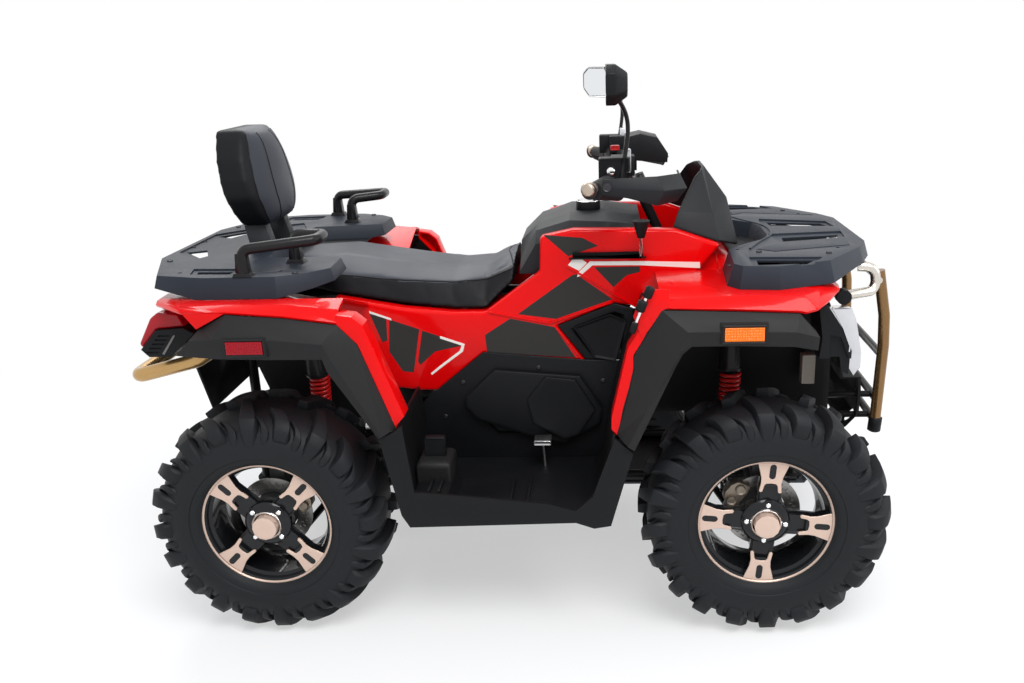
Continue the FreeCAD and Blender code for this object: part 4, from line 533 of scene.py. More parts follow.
def along(line, share):
    """A point part of the way along a list of points or numbers, counted by its steps."""
    place = min(max(share, 0.0), 1.0) * (len(line) - 1)
    index = min(int(place), len(line) - 2)
    rest = place - index
    first, second = line[index], line[index + 1]
    if isinstance(first, tuple):
        return tuple(a + (b - a) * rest for a, b in zip(first, second))
    return first + (second - first) * rest


def turned_ring(name, profile, steps):
    """A closed (radius, y) profile spun round the wheel's axis, which is Y."""
    piece = started_as(name, bpy.ops.mesh.primitive_circle_add, vertices=len(profile))
    for vertex, (radius, y) in zip(piece.data.vertices, profile):
        vertex.co = (0.0, y, radius)
    bpy.ops.object.mode_set(mode="EDIT")
    bpy.ops.mesh.select_all(action="SELECT")
    bpy.ops.mesh.spin(steps=steps, angle=2 * math.pi, center=(0, 0, 0), axis=(0, 1, 0))
    bpy.ops.mesh.select_all(action="SELECT")
    bpy.ops.mesh.remove_doubles(threshold=SAME_POINT)
    bpy.ops.mesh.normals_make_consistent(inside=False)
    bpy.ops.object.mode_set(mode="OBJECT")
    return piece


def extruded(piece, move):
    """Edit mode: the flat piece is extruded by move, and its faces turned outwards."""
    bpy.ops.object.mode_set(mode="EDIT")
    bpy.ops.mesh.select_all(action="SELECT")
    bpy.ops.mesh.extrude_region_move(TRANSFORM_OT_translate={"value": move})
    bpy.ops.mesh.select_all(action="SELECT")
    bpy.ops.mesh.normals_make_consistent(inside=False)
    bpy.ops.object.mode_set(mode="OBJECT")


def flipped(piece):
    """The piece's mirror image on the other side of the vehicle."""
    piece.data.transform(Matrix.Diagonal((1, -1, 1, 1)))
    piece.data.flip_normals()


def copy_of(piece, turn=0.0, shift=(0, 0, 0), flip=False, name=None):
    """A copy with its own mesh: turned about Y, mirrored to the other side, moved."""
    twin = bpy.data.objects.new(name or piece.name, piece.data.copy())
    bpy.context.scene.collection.objects.link(twin)
    if turn:
        twin.data.transform(Matrix.Rotation(turn, 4, "Y"))
    if flip:
        flipped(twin)
    twin.data.transform(Matrix.Translation(shift))
    return twin


def tyre_lug(name, top, base, widths, half, middle):
    """One lug: a grid extruded to a bar, then laid along the tyre's cross-section."""
    piece = started_as(name, bpy.ops.mesh.primitive_grid_add, x_subdivisions=2 * len(top),
                       y_subdivisions=1, size=1.0)
    extruded(piece, (0, 0, 1.0))
    for vertex in piece.data.vertices:
        share = vertex.co.x + 0.5
        raised = vertex.co.z > 0.5
        out, radius = along(top if raised else base, share)
        width = along(widths, share) * (LUG_TOP_WIDTH if raised else LUG_FOOT_WIDTH)
        lean = LUG_LEAN * math.sin(min(share * 1.6, 1.0) * math.pi / 2)
        angle = lean + vertex.co.y * width / radius
        vertex.co = (radius * math.sin(angle), middle - out * half, radius * math.cos(angle))
    piece.data.flip_normals()
    return piece


def lugged_tyre(name, node):
    """The carcass as a turned ring, with its lugs copied round both shoulders."""
    low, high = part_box(node)
    half = (high.y - low.y) / 2
    middle = (high.y + low.y) / 2
    outer = [(radius, -share * half) for share, radius in TYRE_SECTION]
    outer.append((FLANGE_R, TYRE_BULGE - half))
    outer.append((BEAD_R, TYRE_BULGE + BEAD_IN - half))
    inner = [(radius, -y) for radius, y in reversed(outer[1:])]
    profile = [(radius, y + middle) for radius, y in outer + inner]
    pieces = [turned_ring(name, profile, TYRE_STEPS)]
    smooth(pieces[0], 40.0)
    reach = half * LUG_REACH
    long_lug = tyre_lug("long_lug", LONG_TOP, LONG_BASE, LONG_WIDTH, reach, middle)
    short_lug = tyre_lug("short_lug", SHORT_TOP, SHORT_BASE, SHORT_WIDTH, reach, middle)
    web = tyre_lug("web_block", WEB_TOP, WEB_BASE, WEB_WIDTH, reach, middle)
    for lug in (long_lug, short_lug):
        soften(lug, 0.0018, 2, 24.0)
    soften(web, 0.0015, 1, 24.0)
    for step in range(2 * LUGS_A_SIDE):
        lug = web if step % 2 else (long_lug if step % 4 else short_lug)
        turn = math.pi * step / LUGS_A_SIDE
        pieces.append(copy_of(lug, turn=turn + math.pi / LUGS_A_SIDE))
        centred = copy_of(lug, shift=(0, -middle, 0))
        pieces.append(copy_of(centred, turn=turn, flip=True, shift=(0, middle, 0)))
        bpy.data.objects.remove(centred)
    for lug in (long_lug, short_lug, web):
        bpy.data.objects.remove(lug)
    return joined(pieces, name)


spin_joints = {joint["child"]: joint for joint in frame["joints"] if joint.get("continuous")}


def fit_to_wheels(template, end, name, slot, replaced=None):
    """Puts a copy of one right-hand part on both wheels of an axle."""
    for side in ("right", "left"):
        body = f"wheel_{end}_{side}"
        place = spin_joints[body]["pos_m"]
        twin = copy_of(template, shift=(place[0], 0, place[2]), flip=side == "left",
                       name=f"{name}_{end}_{side}")
        settle(twin, body, slot)
        if replaced:
            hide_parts(f"{replaced}_{end}_{side}")
    bpy.data.objects.remove(template)


tyre_rubber = finish("tyre_rubber", (0.0095, 0.0105, 0.0125), 0.55, tone=0.25, tone_scale=6.0,
                     spread=0.12, grain_scale=380.0, grain_depth=0.5, specular=0.22)
for end in ("front", "rear"):
    tyre = lugged_tyre("tyre_template", f"tyre_{end}_right")
    tyre.data.materials.append(tyre_rubber)
    fit_to_wheels(tyre, end, "lugged_tyre", "tyre", "tyre")

# Rims: cast alloy wheels painted black, with the spoke ends and the lip turned bright after
# painting. A stepped barrel carries the spider of four spokes, bolted to the hub by four
# plated nuts in dark wells round a chromed ring and a faceted centre cap.
RIM_FACE_Y = -0.530
RIM_BACK_Y = {"front": -0.373, "rear": -0.328}
# Turned profiles hold (radius, depth behind the rim's face), and plates (across, up).
BARREL = (
    (0.1690, 0.0), (0.1700, 0.010), (0.1660, 0.018), (0.1560, 0.024), (0.1540, 0.040),
    (0.1500, 0.060), (0.1440, 0.078), (0.1440, 0.092), (0.1500, 0.112), (0.1545, 0.134),
)
BARREL_WALL = 0.0042
BACK_STEP = (0.1545, 0.04)
LIP = ((0.1703, 0.004), (0.1712, -0.0005), (0.1665, -0.0015), (0.1640, 0.001), (0.1655, 0.004))
HUB = ((0.0375, 0.002), (0.040, 0.0), (0.054, 0.004), (0.0610, 0.010), (0.0625, 0.036),
       (0.0375, 0.036))
NUT_WELL = ((0.0095, 0.004), (0.0125, 0.0035), (0.0130, 0.016), (0.0095, 0.016))
HUB_RING = ((0.0340, 0.008), (0.0345, -0.0025), (0.0375, -0.0040), (0.0398, -0.0015),
            (0.0400, 0.008))
SPOKES = 4
PAD_TURN = {"front": 5.0, "rear": 45.0}
SPOKE = ((-0.0300, 0.030), (-0.0285, 0.085), (-0.0270, 0.125), (-0.037, 0.1580),
         (0.037, 0.1580), (0.0270, 0.125), (0.0285, 0.085), (0.0300, 0.030))
PAD_OUTER_R, PAD_INNER_R, PAD_PRONG_R = 0.1665, 0.1070, 0.0860
PAD_BASE_FOOT = ((0.027, 0.125), (0.025, 0.100), (-0.025, 0.100), (-0.027, 0.125))
PAD_SLOT = (0.0080, 0.1205, 0.1600)
NUT_CIRCLE_R, NUT_R = 0.0490, 0.0078
BORE_R = 0.0378
CAP_R, CAP_REACH, CAP_SIDES = 0.0315, 0.020, 12
# How far each plate stands behind the rim's face, and how thick it is.
SPOKE_IN, SPOKE_THICK = 0.007, 0.026
BASE_IN, BASE_THICK = 0.0055, 0.012
BRIGHT_IN, BRIGHT_THICK = 0.0033, 0.005
SLOT_IN, SLOT_THICK = 0.0029, 0.004
BORE_IN, BORE_THICK = 0.012, 0.02
NUT_IN, NUT_LENGTH = 0.001, 0.014
CAP_ROOT = 0.016
OUTWARD = (0, -1, 0)


def flat_plate(name, outline, face_y, depth, turn=0.0):
    """A plate drawn in an upright plane (x, z) and extruded along y by depth."""
    piece = started_as(name, bpy.ops.mesh.primitive_circle_add, vertices=len(outline),
                       fill_type="NGON")
    for vertex, (across, up) in zip(piece.data.vertices, outline):
        vertex.co = (across, face_y, up)
    extruded(piece, (0, depth, 0))
    if turn:
        piece.data.transform(Matrix.Rotation(math.radians(turn), 4, "Y"))
    return piece


def arc_points(radius, start, end, steps, centre=(0.0, 0.0)):
    """Points on a circle of the wheel's plane; 0 degrees is straight up."""
    points = []
    for step in range(steps + 1):
        angle = math.radians(start + (end - start) * step / steps)
        points.append((centre[0] + radius * math.sin(angle), centre[1] + radius * math.cos(angle)))
    return points


def sink(piece, facing, depth, border, chosen=None, each=False):
    """Faces that look one way are inset and pushed in: a trough, a well or a recess."""
    select_faces(piece, lambda face: (chosen is None or chosen(face.center))
                 and face.normal.dot(Vector(facing)) > 0.9)
    bpy.ops.mesh.inset(thickness=border, use_individual=each)
    bpy.ops.transform.translate(value=Vector(facing) * -depth)
    bpy.ops.object.mode_set(mode="OBJECT")


def ring_behind_face(name, profile, steps):
    return turned_ring(name, [(radius, RIM_FACE_Y + depth) for radius, depth in profile], steps)


def machined_pad(turn):
    """One bright spoke end: a wide foot at the lip and two prongs down the spoke's sides."""
    outer = arc_points(PAD_OUTER_R, -13.5, 13.5, 8)
    right = [
        (0.0268, 0.1250), (0.0252, 0.1080), (0.0280, PAD_PRONG_R),
        (0.0245, PAD_PRONG_R - 0.0035), (0.0195, PAD_PRONG_R - 0.001), (0.0165, 0.1015),
    ]
    left = [(-x, up) for x, up in reversed(right)]
    bottom = [(0.0125, PAD_INNER_R), (0.0, PAD_INNER_R + 0.0015), (-0.0125, PAD_INNER_R)]
    outline = outer + right + bottom + left
    pad = flat_plate("machined_pad", outline, RIM_FACE_Y + BRIGHT_IN, BRIGHT_THICK, turn)
    soften(pad, 0.0007, 1, 25.0)
    return pad


def slot_outline(half, low, high, steps=6):
    top = arc_points(half, -90, 90, steps, (0.0, high - half))
    bottom = arc_points(half, 90, 270, steps, (0.0, low + half))
    return top + bottom


def wheel_disc(name, radius, face_y, depth, sides):
    """A round boss on the wheel's axis, its outer face inset once."""
    piece = flat_plate(name, arc_points(radius, 0, 360 - 360 / sides, sides - 1), face_y, depth)
    sink(piece, OUTWARD, -0.0012, radius * 0.18)
    return piece


def nut_place(turn):
    angle = math.radians(turn)
    return Vector((NUT_CIRCLE_R * math.sin(angle), 0, NUT_CIRCLE_R * math.cos(angle)))


def spider(turns):
    """The cast spokes with their troughs, the slots' dark inlays, the nuts' wells, the hub."""
    pieces = []
    for turn in turns:
        bar = flat_plate("rim_spoke", SPOKE, RIM_FACE_Y + SPOKE_IN, SPOKE_THICK, turn)
        sink(bar, OUTWARD, 0.007, 0.0065)
        soften(bar, 0.0022, 2, 25.0)
        outline = [(x * 1.01, up) for x, up in arc_points(PAD_OUTER_R, -13.8, 13.8, 8)]
        outline += PAD_BASE_FOOT
        base = flat_plate("pad_base", outline, RIM_FACE_Y + BASE_IN, BASE_THICK, turn)
        slot = flat_plate("pad_slot", slot_outline(*PAD_SLOT), RIM_FACE_Y + SLOT_IN, SLOT_THICK,
                          turn)
        well = ring_behind_face("nut_well", NUT_WELL, 20)
        well.data.transform(Matrix.Translation(nut_place(turn)))
        pieces += [bar, base, slot, well]
    hub = ring_behind_face("rim_hub", HUB, 64)
    soften(hub, 0.0012, 2, 30.0)
    return pieces + [hub, wheel_disc("hub_bore", BORE_R, RIM_FACE_Y + BORE_IN, BORE_THICK, 32)]


def barrel(back_y):
    """The stepped barrel as one turned wall, from the bright face to the rear flange."""
    profile = [(radius, RIM_FACE_Y + depth) for radius, depth in BARREL]
    profile.append((BACK_STEP[0], back_y - BACK_STEP[1]))
    profile += [(radius, back_y - depth) for radius, depth in reversed(BARREL[:4])]
    inside = [(radius - BARREL_WALL, y) for radius, y in reversed(profile)]
    piece = turned_ring("rim_barrel", profile + inside, TYRE_STEPS)
    smooth(piece, 30.0)
    return piece


def plated_parts(turns):
    """The ring round the bore and the four domed nuts."""
    pieces = [ring_behind_face("hub_ring", HUB_RING, 64)]
    smooth(pieces[0], 50.0)
    for turn in turns:
        place = nut_place(turn)
        outline = arc_points(NUT_R, 0, 300, 5, (place.x, place.z))
        nut = flat_plate("wheel_nut", outline, RIM_FACE_Y + NUT_IN, NUT_LENGTH)
        sink(nut, OUTWARD, -0.003, NUT_R * 0.28)
        soften(nut, 0.0008, 2, 20.0)
        pieces.append(nut)
    return pieces


machined = finish("machined_alloy", (0.66, 0.49, 0.40), 0.38, metallic=0.35, coat=0.3,
                  tone=0.05, tone_scale=30.0, spread=0.05, grain_depth=0.15)
rim_black = finish("rim_black_paint", (0.007, 0.0075, 0.009), 0.26, coat=0.8, grain_depth=0.03)
chrome = finish("chrome", (0.86, 0.86, 0.86), 0.10, metallic=1.0, tone=0.03, grain_depth=0.01)
for end in ("front", "rear"):
    turns = [PAD_TURN[end] + 360.0 / SPOKES * spoke for spoke in range(SPOKES)]
    black = joined([barrel(RIM_BACK_Y[end])] + spider(turns), "rim_template")
    bright = [ring_behind_face("rim_lip", LIP, TYRE_STEPS)]
    bright += [machined_pad(turn) for turn in turns]
    bright.append(wheel_disc("centre_cap", CAP_R, RIM_FACE_Y - CAP_REACH, CAP_REACH + CAP_ROOT,
                             CAP_SIDES))
    bright = joined(bright, "bright_template")
    plated = joined(plated_parts(turns), "plated_template")
    for template, material in ((black, rim_black), (bright, machined), (plated, chrome)):
        template.data.materials.clear()
        template.data.materials.append(material)
    fit_to_wheels(black, end, "cast_rim", "wheel_black", "rim")
    fit_to_wheels(bright, end, "machined_faces", "wheel_machined")
    fit_to_wheels(plated, end, "plated_wheel_parts", "chrome")

# Brakes: a drilled steel disc turning with each wheel, gripped by a cast caliper with two
# piston bosses that is bolted to the knuckle in front and to the hub carrier behind.
DISC_FACE_Y = -0.4575
DISC_BACK_Y = -0.4525
DISC_RINGS = (0.060, 0.070, 0.079, 0.088, 0.098)
DISC_STEPS = 60
CALIPER = ((-0.038, 0.070), (-0.030, 0.104), (-0.012, 0.113), (0.012, 0.113), (0.030, 0.104),
           (0.038, 0.070), (0.016, 0.064), (-0.016, 0.064))
CALIPER_FACE_Y, CALIPER_THICK = -0.476, 0.036
CALIPER_TURN = {"front": -52.0, "rear": 60.0}
CALIPER_BODY = {"front": "knuckle_{}", "rear": "chassis"}
PISTON_R, PISTON_SIDE, PISTON_OUT = 0.013, 0.018, 0.088
PISTON_FACE_Y, PISTON_THICK = -0.484, 0.012


def brake_disc():
    """A flat turned ring with every other face of its two middle rings pushed in."""
    front = [(radius, DISC_FACE_Y) for radius in DISC_RINGS]
    back = [(radius, DISC_BACK_Y) for radius in reversed(DISC_RINGS)]
    disc = turned_ring("disc_ring", front + back, DISC_STEPS)
    inner, middle, outer = DISC_RINGS[1:4]

    def drilled(centre):
        step = round((math.atan2(centre.x, centre.z) / math.tau) * DISC_STEPS - 0.5)
        ring = math.hypot(centre.x, centre.z)
        return inner < ring < outer and (step + (1 if ring > middle else 0)) % 2 == 0

    sink(disc, OUTWARD, 0.0018, 0.0012, drilled, each=True)
    return disc


def caliper(turn):
    """A block round the disc's edge: a bar, its face pushed into two round bosses."""
    pieces = [flat_plate("caliper_body", CALIPER, CALIPER_FACE_Y, CALIPER_THICK)]
    soften(pieces[0], 0.004, 2, 25.0)
    for x in (-PISTON_SIDE, PISTON_SIDE):
        outline = arc_points(PISTON_R, 0, 345, 23, (x, PISTON_OUT))
        boss = flat_plate("piston_boss", outline, PISTON_FACE_Y, PISTON_THICK)
        sink(boss, OUTWARD, 0.0025, 0.004)
        pieces.append(boss)
    piece = joined(pieces, "caliper_template")
    piece.data.transform(Matrix.Rotation(math.radians(turn), 4, "Y"))
    return piece


disc_steel = finish("brake_disc_steel", (0.34, 0.33, 0.32), 0.38, metallic=1.0, tone=0.15,
                    tone_scale=60.0)
caliper_metal = finish("caliper_bronze_grey", (0.30, 0.25, 0.20), 0.45, metallic=0.6, tone=0.25,
                       tone_scale=70.0, grain_scale=500.0, grain_depth=0.3)
for end in ("front", "rear"):
    disc = brake_disc()
    disc.data.materials.append(disc_steel)
    fit_to_wheels(disc, end, "brake_disc", "cast_steel")
    template = caliper(CALIPER_TURN[end])
    for side in ("right", "left"):
        hub = spin_joints[f"wheel_{end}_{side}"]["pos_m"]
        twin = copy_of(template, shift=(hub[0], 0, hub[2]), flip=side == "left",
                       name=f"caliper_{end}_{side}")
        settle(twin, CALIPER_BODY[end].format(side), "cast_steel", caliper_metal)
    bpy.data.objects.remove(template)

# Painted body: glossy red moulded wings over all four wheels, the hood between them and the
# two side panels, with raised ribs. Grey and white stickers lie flat on the side panels.
PANEL_FACE_Y = -0.2387
GREY_PROUD, WHITE_PROUD, STICKER_SUNK = 0.0005, 0.0008, 0.0004
RIB_PROUD, RIB_SUNK = 0.0035, 0.001
RIB_HALF = 0.0028
# Outlines on the panel's face, (x, z) in millimetres.
GREY_STICKERS = (
    ("sticker_tank_side", ((85, 1004), (186, 994), (227, 972), (148, 946))),
    ("sticker_under_stripe", ((216, 915), (336, 915), (336, 900), (302, 892), (266, 860))),
    ("sticker_middle", ((9, 790), (156, 894), (168, 897), (263, 827), (111, 775))),
    ("sticker_lower", ((-83, 733), (-13, 778), (106, 752), (161, 665), (-80, 683))),
    ("sticker_rear_first", ((-395, 800), (-350, 784), (-352, 722), (-366, 716))),
    ("sticker_rear_second", ((-342, 781), (-262, 752), (-286, 628), (-316, 632), (-350, 690))),
    ("sticker_rear_third", ((-254, 748), (-220, 736), (-150, 703), (-222, 688), (-266, 650),
                            (-272, 660))),
)
WHITE_STICKERS = (
    ("stripe_upper", ((170, 889), (173, 901), (205, 931), (336, 929), (492, 923), (493, 907),
                      (336, 918), (211, 920), (179, 892))),
    ("stripe_pale_block", ((147, 922), (169, 949), (197, 927), (176, 906))),
    ("pin_stripe_rear", ((-395, 806), (-337, 784), (-336, 778), (-394, 799))),
    ("pin_stripe_corner", ((-206, 732), (-140, 708), (-146, 687), (-210, 640), (-236, 620),
                           (-239, 625), (-213, 646), (-155, 689), (-149, 704), (-207, 725))),
)
RIBS = (
    ((-69, 797), (94, 764), (262, 819)), ((110, 752), (186, 650)), ((-80, 681), (186, 650)),
    ((142, 920), (331, 802)),
)


def millimetres(outline):
    return [(x / 1000, z / 1000) for x, z in outline]


def both_sides(piece, body, slot, *materials):
    """The right-hand piece and its mirror image on the left."""
    twin = copy_of(piece, flip=True, name=piece.name + "_left")
    for each in (piece, twin):
        settle(each, body, slot, *materials)


def soft_plate(name, outline, face_y, depth, width, segments, angle):
    """A flat plate from an outline in millimetres, with rounded edges."""
    piece = flat_plate(name, millimetres(outline), face_y, depth)
    soften(piece, width, segments, angle)
    return piece


def sticker(name, outline, proud):
    """A thin sheet cut to an outline, its edge rolled off."""
    return soft_plate(name, outline, PANEL_FACE_Y - proud, proud + STICKER_SUNK, 0.0002, 1, 40.0)


def rib(name, path):
    """A raised rib: one flat bar for each run of its path, pressed out of the panel."""
    bars = []
    for start, end in zip(path, path[1:]):
        start, end = Vector(start), Vector(end)
        run = (end - start).normalized()
        aside = Vector((-run.y, run.x)) * RIB_HALF * 1000
        bars.append(soft_plate(name, (start + aside, end + aside, end - aside, start - aside),
                               PANEL_FACE_Y - RIB_PROUD, RIB_PROUD + RIB_SUNK, 0.0016, 2, 40.0))
    return joined(bars, name)


red_paint = finish("red_paint", (0.74, 0.0010, 0.0018), 0.28, coat=0.5, tone=0.04,
                   tone_scale=5.0, grain_scale=260.0, grain_depth=0.015, specular=0.08)
sticker_grey = finish("grey_sticker", (0.030, 0.029, 0.027), 0.42, coat=0.1, tone=0.05,
                      grain_scale=1500.0)
sticker_white = finish("white_sticker", (0.84, 0.80, 0.74), 0.35, coat=0.3, tone=0.03,
                       grain_depth=0.02)
dressed("front_wings", red_paint, 0.006, 3, 18.0)
dressed("rear_wings", red_paint, 0.006, 3, 18.0)
dressed("side_panels", red_paint, 0.009, 3, 30.0)
for name, outline in GREY_STICKERS:
    both_sides(sticker(name, outline, GREY_PROUD), "chassis", "decal_grey", sticker_grey)
for name, outline in WHITE_STICKERS:
    both_sides(sticker(name, outline, WHITE_PROUD), "chassis", "decal_white", sticker_white)
for number, path in enumerate(RIBS):
    both_sides(rib(f"panel_rib_{number + 1}", path), "chassis", "body_red", red_paint)

# Wheel-arch flares, covers and footwells: black moulded plastic with a fine leather grain,
# pushed onto the red parts and held by screws. The covers carry raised and sunk fields.
COVER_FACE_Y = -0.2460
SCREWS = ((0.060, 0.640), (-0.150, 0.600), (0.235, 0.600), (-0.205, 0.500))
# Name, outline in millimetres, face, thickness, width of the border, depth of the field.
COVER_FIELDS = (
    ("cover_boss", ((-143, 564), (-60, 640), (172, 619), (232, 523), (225, 481), (123, 421),
                    (27, 447), (-113, 497), (-145, 534)), -0.2640, 0.012, 0.010, -0.0015),
    ("cover_boss_front", ((27, 557), (79, 622), (160, 612), (212, 525), (165, 452), (124, 440),
                          (40, 491)), -0.2750, 0.013, 0.012, 0.002),
    ("vent_cover_field", ((158, 752), (256, 788), (300, 768), (270, 655), (212, 667)),
     -0.2490, 0.008, 0.007, 0.005),
)
UPWARD = (0, 0, 1)


def screw_head(name, place, facing, radius=0.0065, height=0.003):
    """A button-head screw: a short cylinder, its face inset to a rim and sunk for the key."""
    piece = started_as(name, bpy.ops.mesh.primitive_cylinder_add, vertices=16, radius=radius,
                       depth=height)
    sink(piece, UPWARD, -0.0012, radius * 0.35)
    sink(piece, UPWARD, 0.0016, radius * 0.15)
    stand_along(piece, facing, place)
    smooth(piece, 30.0)
    return piece


black_plastic = finish("black_moulded_plastic", (0.0075, 0.0080, 0.0090), 0.42,
                       grain_scale=1300.0, grain_depth=0.35, tone=0.12)
flare_plastic = finish("flare_grey_black_plastic", (0.017, 0.017, 0.0175), 0.44,
                       grain_scale=1100.0, grain_depth=0.35)
screw_steel = finish("black_screws", (0.05, 0.05, 0.055), 0.35, metallic=0.8)
dressed("wheel_arch_flares", flare_plastic, 0.004, 3, 14.0)
dressed("side_covers", black_plastic, 0.003, 3, 18.0)
dressed("footwells", black_plastic, 0.004, 3, 25.0)
for name, outline, face_y, depth, border, step in COVER_FIELDS:
    field = flat_plate(name, millimetres(outline), face_y, depth)
    sink(field, OUTWARD, step, border)
    soften(field, 0.0025, 3, 20.0)
    both_sides(field, "chassis", "black_plastic", black_plastic)
for number, (x, z) in enumerate(SCREWS):
    both_sides(screw_head(f"cover_screw_{number + 1}", (x, COVER_FACE_Y, z), OUTWARD),
               "chassis", "black_plastic", screw_steel)

# Wheel housings: upright black liners inboard of each wheel, a red corner piece that closes
# each front wing over its leg, and a black edge strip in the seam between leg and flare.
LINER_Y = -0.1750
LINERS = (
    ("front_liner", ((345, 480), (345, 860), (560, 880), (700, 860), (800, 760), (860, 640),
                     (860, 480))),
    ("rear_liner", ((-345, 470), (-345, 800), (-600, 820), (-770, 800), (-770, 700),
                    (-690, 470))),
)
WING_CORNER = ((308, 868), (322, 905), (345, 932), (392, 932), (392, 888), (374, 880),
               (350, 842), (328, 812))
WING_CORNER_Y = -0.5520
SEAM = ((378, 882), (347, 834), (317, 780), (309, 730), (300, 690), (285, 636), (277, 593),
        (272, 572))
SEAM_Y, SEAM_R = -0.5475, 0.0042
for name, outline in LINERS:
    liner = flat_plate(name, millimetres(outline), LINER_Y, 0.004)
    sink(liner, OUTWARD, 0.0015, 0.020)
    soften(liner, 0.001, 2, 30.0)
    both_sides(liner, "chassis", "black_plastic", black_plastic)
both_sides(soft_plate("wing_corner", WING_CORNER, WING_CORNER_Y, 0.006, 0.002, 2, 30.0),
           "chassis", "body_red", red_paint)
seam_line = [(x, SEAM_Y, z) for x, z in millimetres(SEAM)]
both_sides(wire_curve("wing_seam", seam_line, SEAM_R, resolution=2),
           "chassis", "black_plastic", black_plastic)

# Footwell fittings: a moulded heel block with a ribbed peg, two upright serrated treads on
# the floor and the bright brake pedal, each fixed to the footwell from below.
HEEL_BLOCK = ((-0.250, -0.470, 0.335), (-0.160, -0.360, 0.455), 0.012)
HEEL_PEG = ((-0.232, -0.428, 0.450), (-0.178, -0.404, 0.512), 0.004)
TREAD_X = (-0.032, 0.022)
TREAD_TEETH, TOOTH_HEIGHT = 12, 0.007
TREAD_FROM, TREAD_TO = -0.500, -0.290
TREAD_LOW, TREAD_HIGH = 0.336, 0.368
PEDAL_PAD = ((0.046, -0.335, 0.448), (0.092, -0.290, 0.460), 0.003)
PEDAL_ROD = ((0.075, -0.300, 0.335), (0.068, -0.304, 0.452))
PEDAL_ROD_R = 0.004


def small_block(name, low, high, border):
    """A block whose top and near faces are inset and worked, with rounded edges."""
    middle = (Vector(low) + Vector(high)) / 2
    size = Vector(high) - Vector(low)
    piece = started_as(name, bpy.ops.mesh.primitive_cube_add, size=1.0)
    piece.data.transform(Matrix.Translation(middle) @ Matrix.Diagonal((*size, 1.0)))
    sink(piece, UPWARD, -border * 0.5, border)
    sink(piece, OUTWARD, 0.0015, border)
    soften(piece, min(size) * 0.12, 2, 20.0)
    return piece


def serrated_tread(x):
    """An upright strip along y with teeth along its top: a drawn outline, extruded."""
    teeth = []
    pitch = (TREAD_TO - TREAD_FROM) / TREAD_TEETH
    foot = TREAD_HIGH - TOOTH_HEIGHT
    for step in range(TREAD_TEETH):
        start = TREAD_FROM + pitch * step
        teeth += [(start, foot), (start + pitch * 0.3, TREAD_HIGH),
                  (start + pitch * 0.7, TREAD_HIGH)]
    outline = [(TREAD_FROM, TREAD_LOW)] + teeth + [(TREAD_TO, foot), (TREAD_TO, TREAD_LOW)]
    strip = flat_plate("serrated_tread", outline, 0.0, 0.006)
    strip.data.transform(Matrix.Translation((x, 0, 0)) @ Matrix.Rotation(math.pi / 2, 4, "Z"))
    soften(strip, 0.0006, 1, 30.0)
    return strip


both_sides(small_block("heel_block", *HEEL_BLOCK), "chassis", "black_plastic", flare_plastic)
both_sides(small_block("heel_peg", *HEEL_PEG), "chassis", "black_plastic", black_plastic)
for x in TREAD_X:
    both_sides(serrated_tread(x), "chassis", "black_plastic", flare_plastic)
pedal = joined([small_block("brake_pedal", *PEDAL_PAD),
                wire_curve("pedal_rod", PEDAL_ROD, PEDAL_ROD_R, resolution=2)], "brake_pedal")
settle(pedal, "chassis", "plated_steel", plated_steel)

# Seat: one long two-up cushion, black grained vinyl drawn over foam on a plastic base. A
# welt runs along each side where the top panel meets the side panel, one crosses the front.
# The top panel's lighter, bluish vinyl is a painted sheen: the sky's reflection painted into its
# colour.
SEAT_VOXEL, SEAT_ROUNDS = 0.006, 6
SEAT_SWELL = 0.005
COVER_FRAMES, COVER_PRESSURE = 20, 4.0
WELT_R = 0.0021
WELT_FROM_X, WELT_RUN, WELT_STEPS, WELT_IN = -0.632, 0.622, 40, 0.004
FRONT_WELT_X, FRONT_WELT_SWEEP, FRONT_WELT_HALF = -0.032, 0.030, 0.165
# Crease between top and side panels: (x, z, half width) in millimetres, from tail to tank.
CREASE = ((-640, 902, 166), (-490, 894, 186), (-300, 872, 182), (-170, 862, 172),
          (-80, 872, 162), (-6, 904, 154))


def as_foam(piece, voxel, rounds):
    """One even closed skin, rounded off as foam is."""
    modified(piece, "foam", "REMESH", mode="VOXEL", voxel_size=voxel)
    modified(piece, "rounding", "SMOOTH", factor=0.5, iterations=rounds)


def blow_up(piece, swell):
    """Cloth: the cover is pressed outwards from inside, each point by no more than swell."""
    rest = [vertex.co.copy() for vertex in piece.data.vertices]
    cloth = piece.modifiers.new("cover", "CLOTH")
    cloth.settings.use_pressure = True
    cloth.settings.uniform_pressure_force = COVER_PRESSURE
    cloth.settings.effector_weights.gravity = 0.0
    cloth.point_cache.frame_start = 1
    cloth.point_cache.frame_end = COVER_FRAMES
    for number in range(1, COVER_FRAMES + 1):
        bpy.context.scene.frame_set(number)
    bpy.ops.object.modifier_apply(modifier=cloth.name)
    bpy.context.scene.frame_set(1)
    for vertex, start in zip(piece.data.vertices, rest):
        moved = vertex.co - start
        if moved.length > swell:
            vertex.co = start + moved.normalized() * swell


def crease_at(x):
    """Height and half width of the seat's crease at one station, in metres."""
    stations = [(a / 1000, b / 1000, c / 1000) for a, b, c in CREASE]
    x = min(max(x, stations[0][0]), stations[-1][0])
    for (x0, z0, h0), (x1, z1, h1) in zip(stations, stations[1:]):
        if x <= x1:
            share = (x - x0) / (x1 - x0)
            return z0 + (z1 - z0) * share, h0 + (h1 - h0) * share
    return stations[-1][1:]


# Picks the upward faces above the crease, which get the painted sheen.
def on_top_panel(centre, normal):
    return centre.z > crease_at(centre.x)[0] and normal.z > 0.35


def laid_on(piece, points, lift):
    """Points dropped onto a piece's surface from above, each kept a little proud of it."""
    laid = []
    for x, y in points:
        hit, place, normal, _ = piece.ray_cast(Vector((x, y, 2.0)), Vector((0, 0, -1)))
        if hit:
            laid.append(place + normal * lift)
    return laid


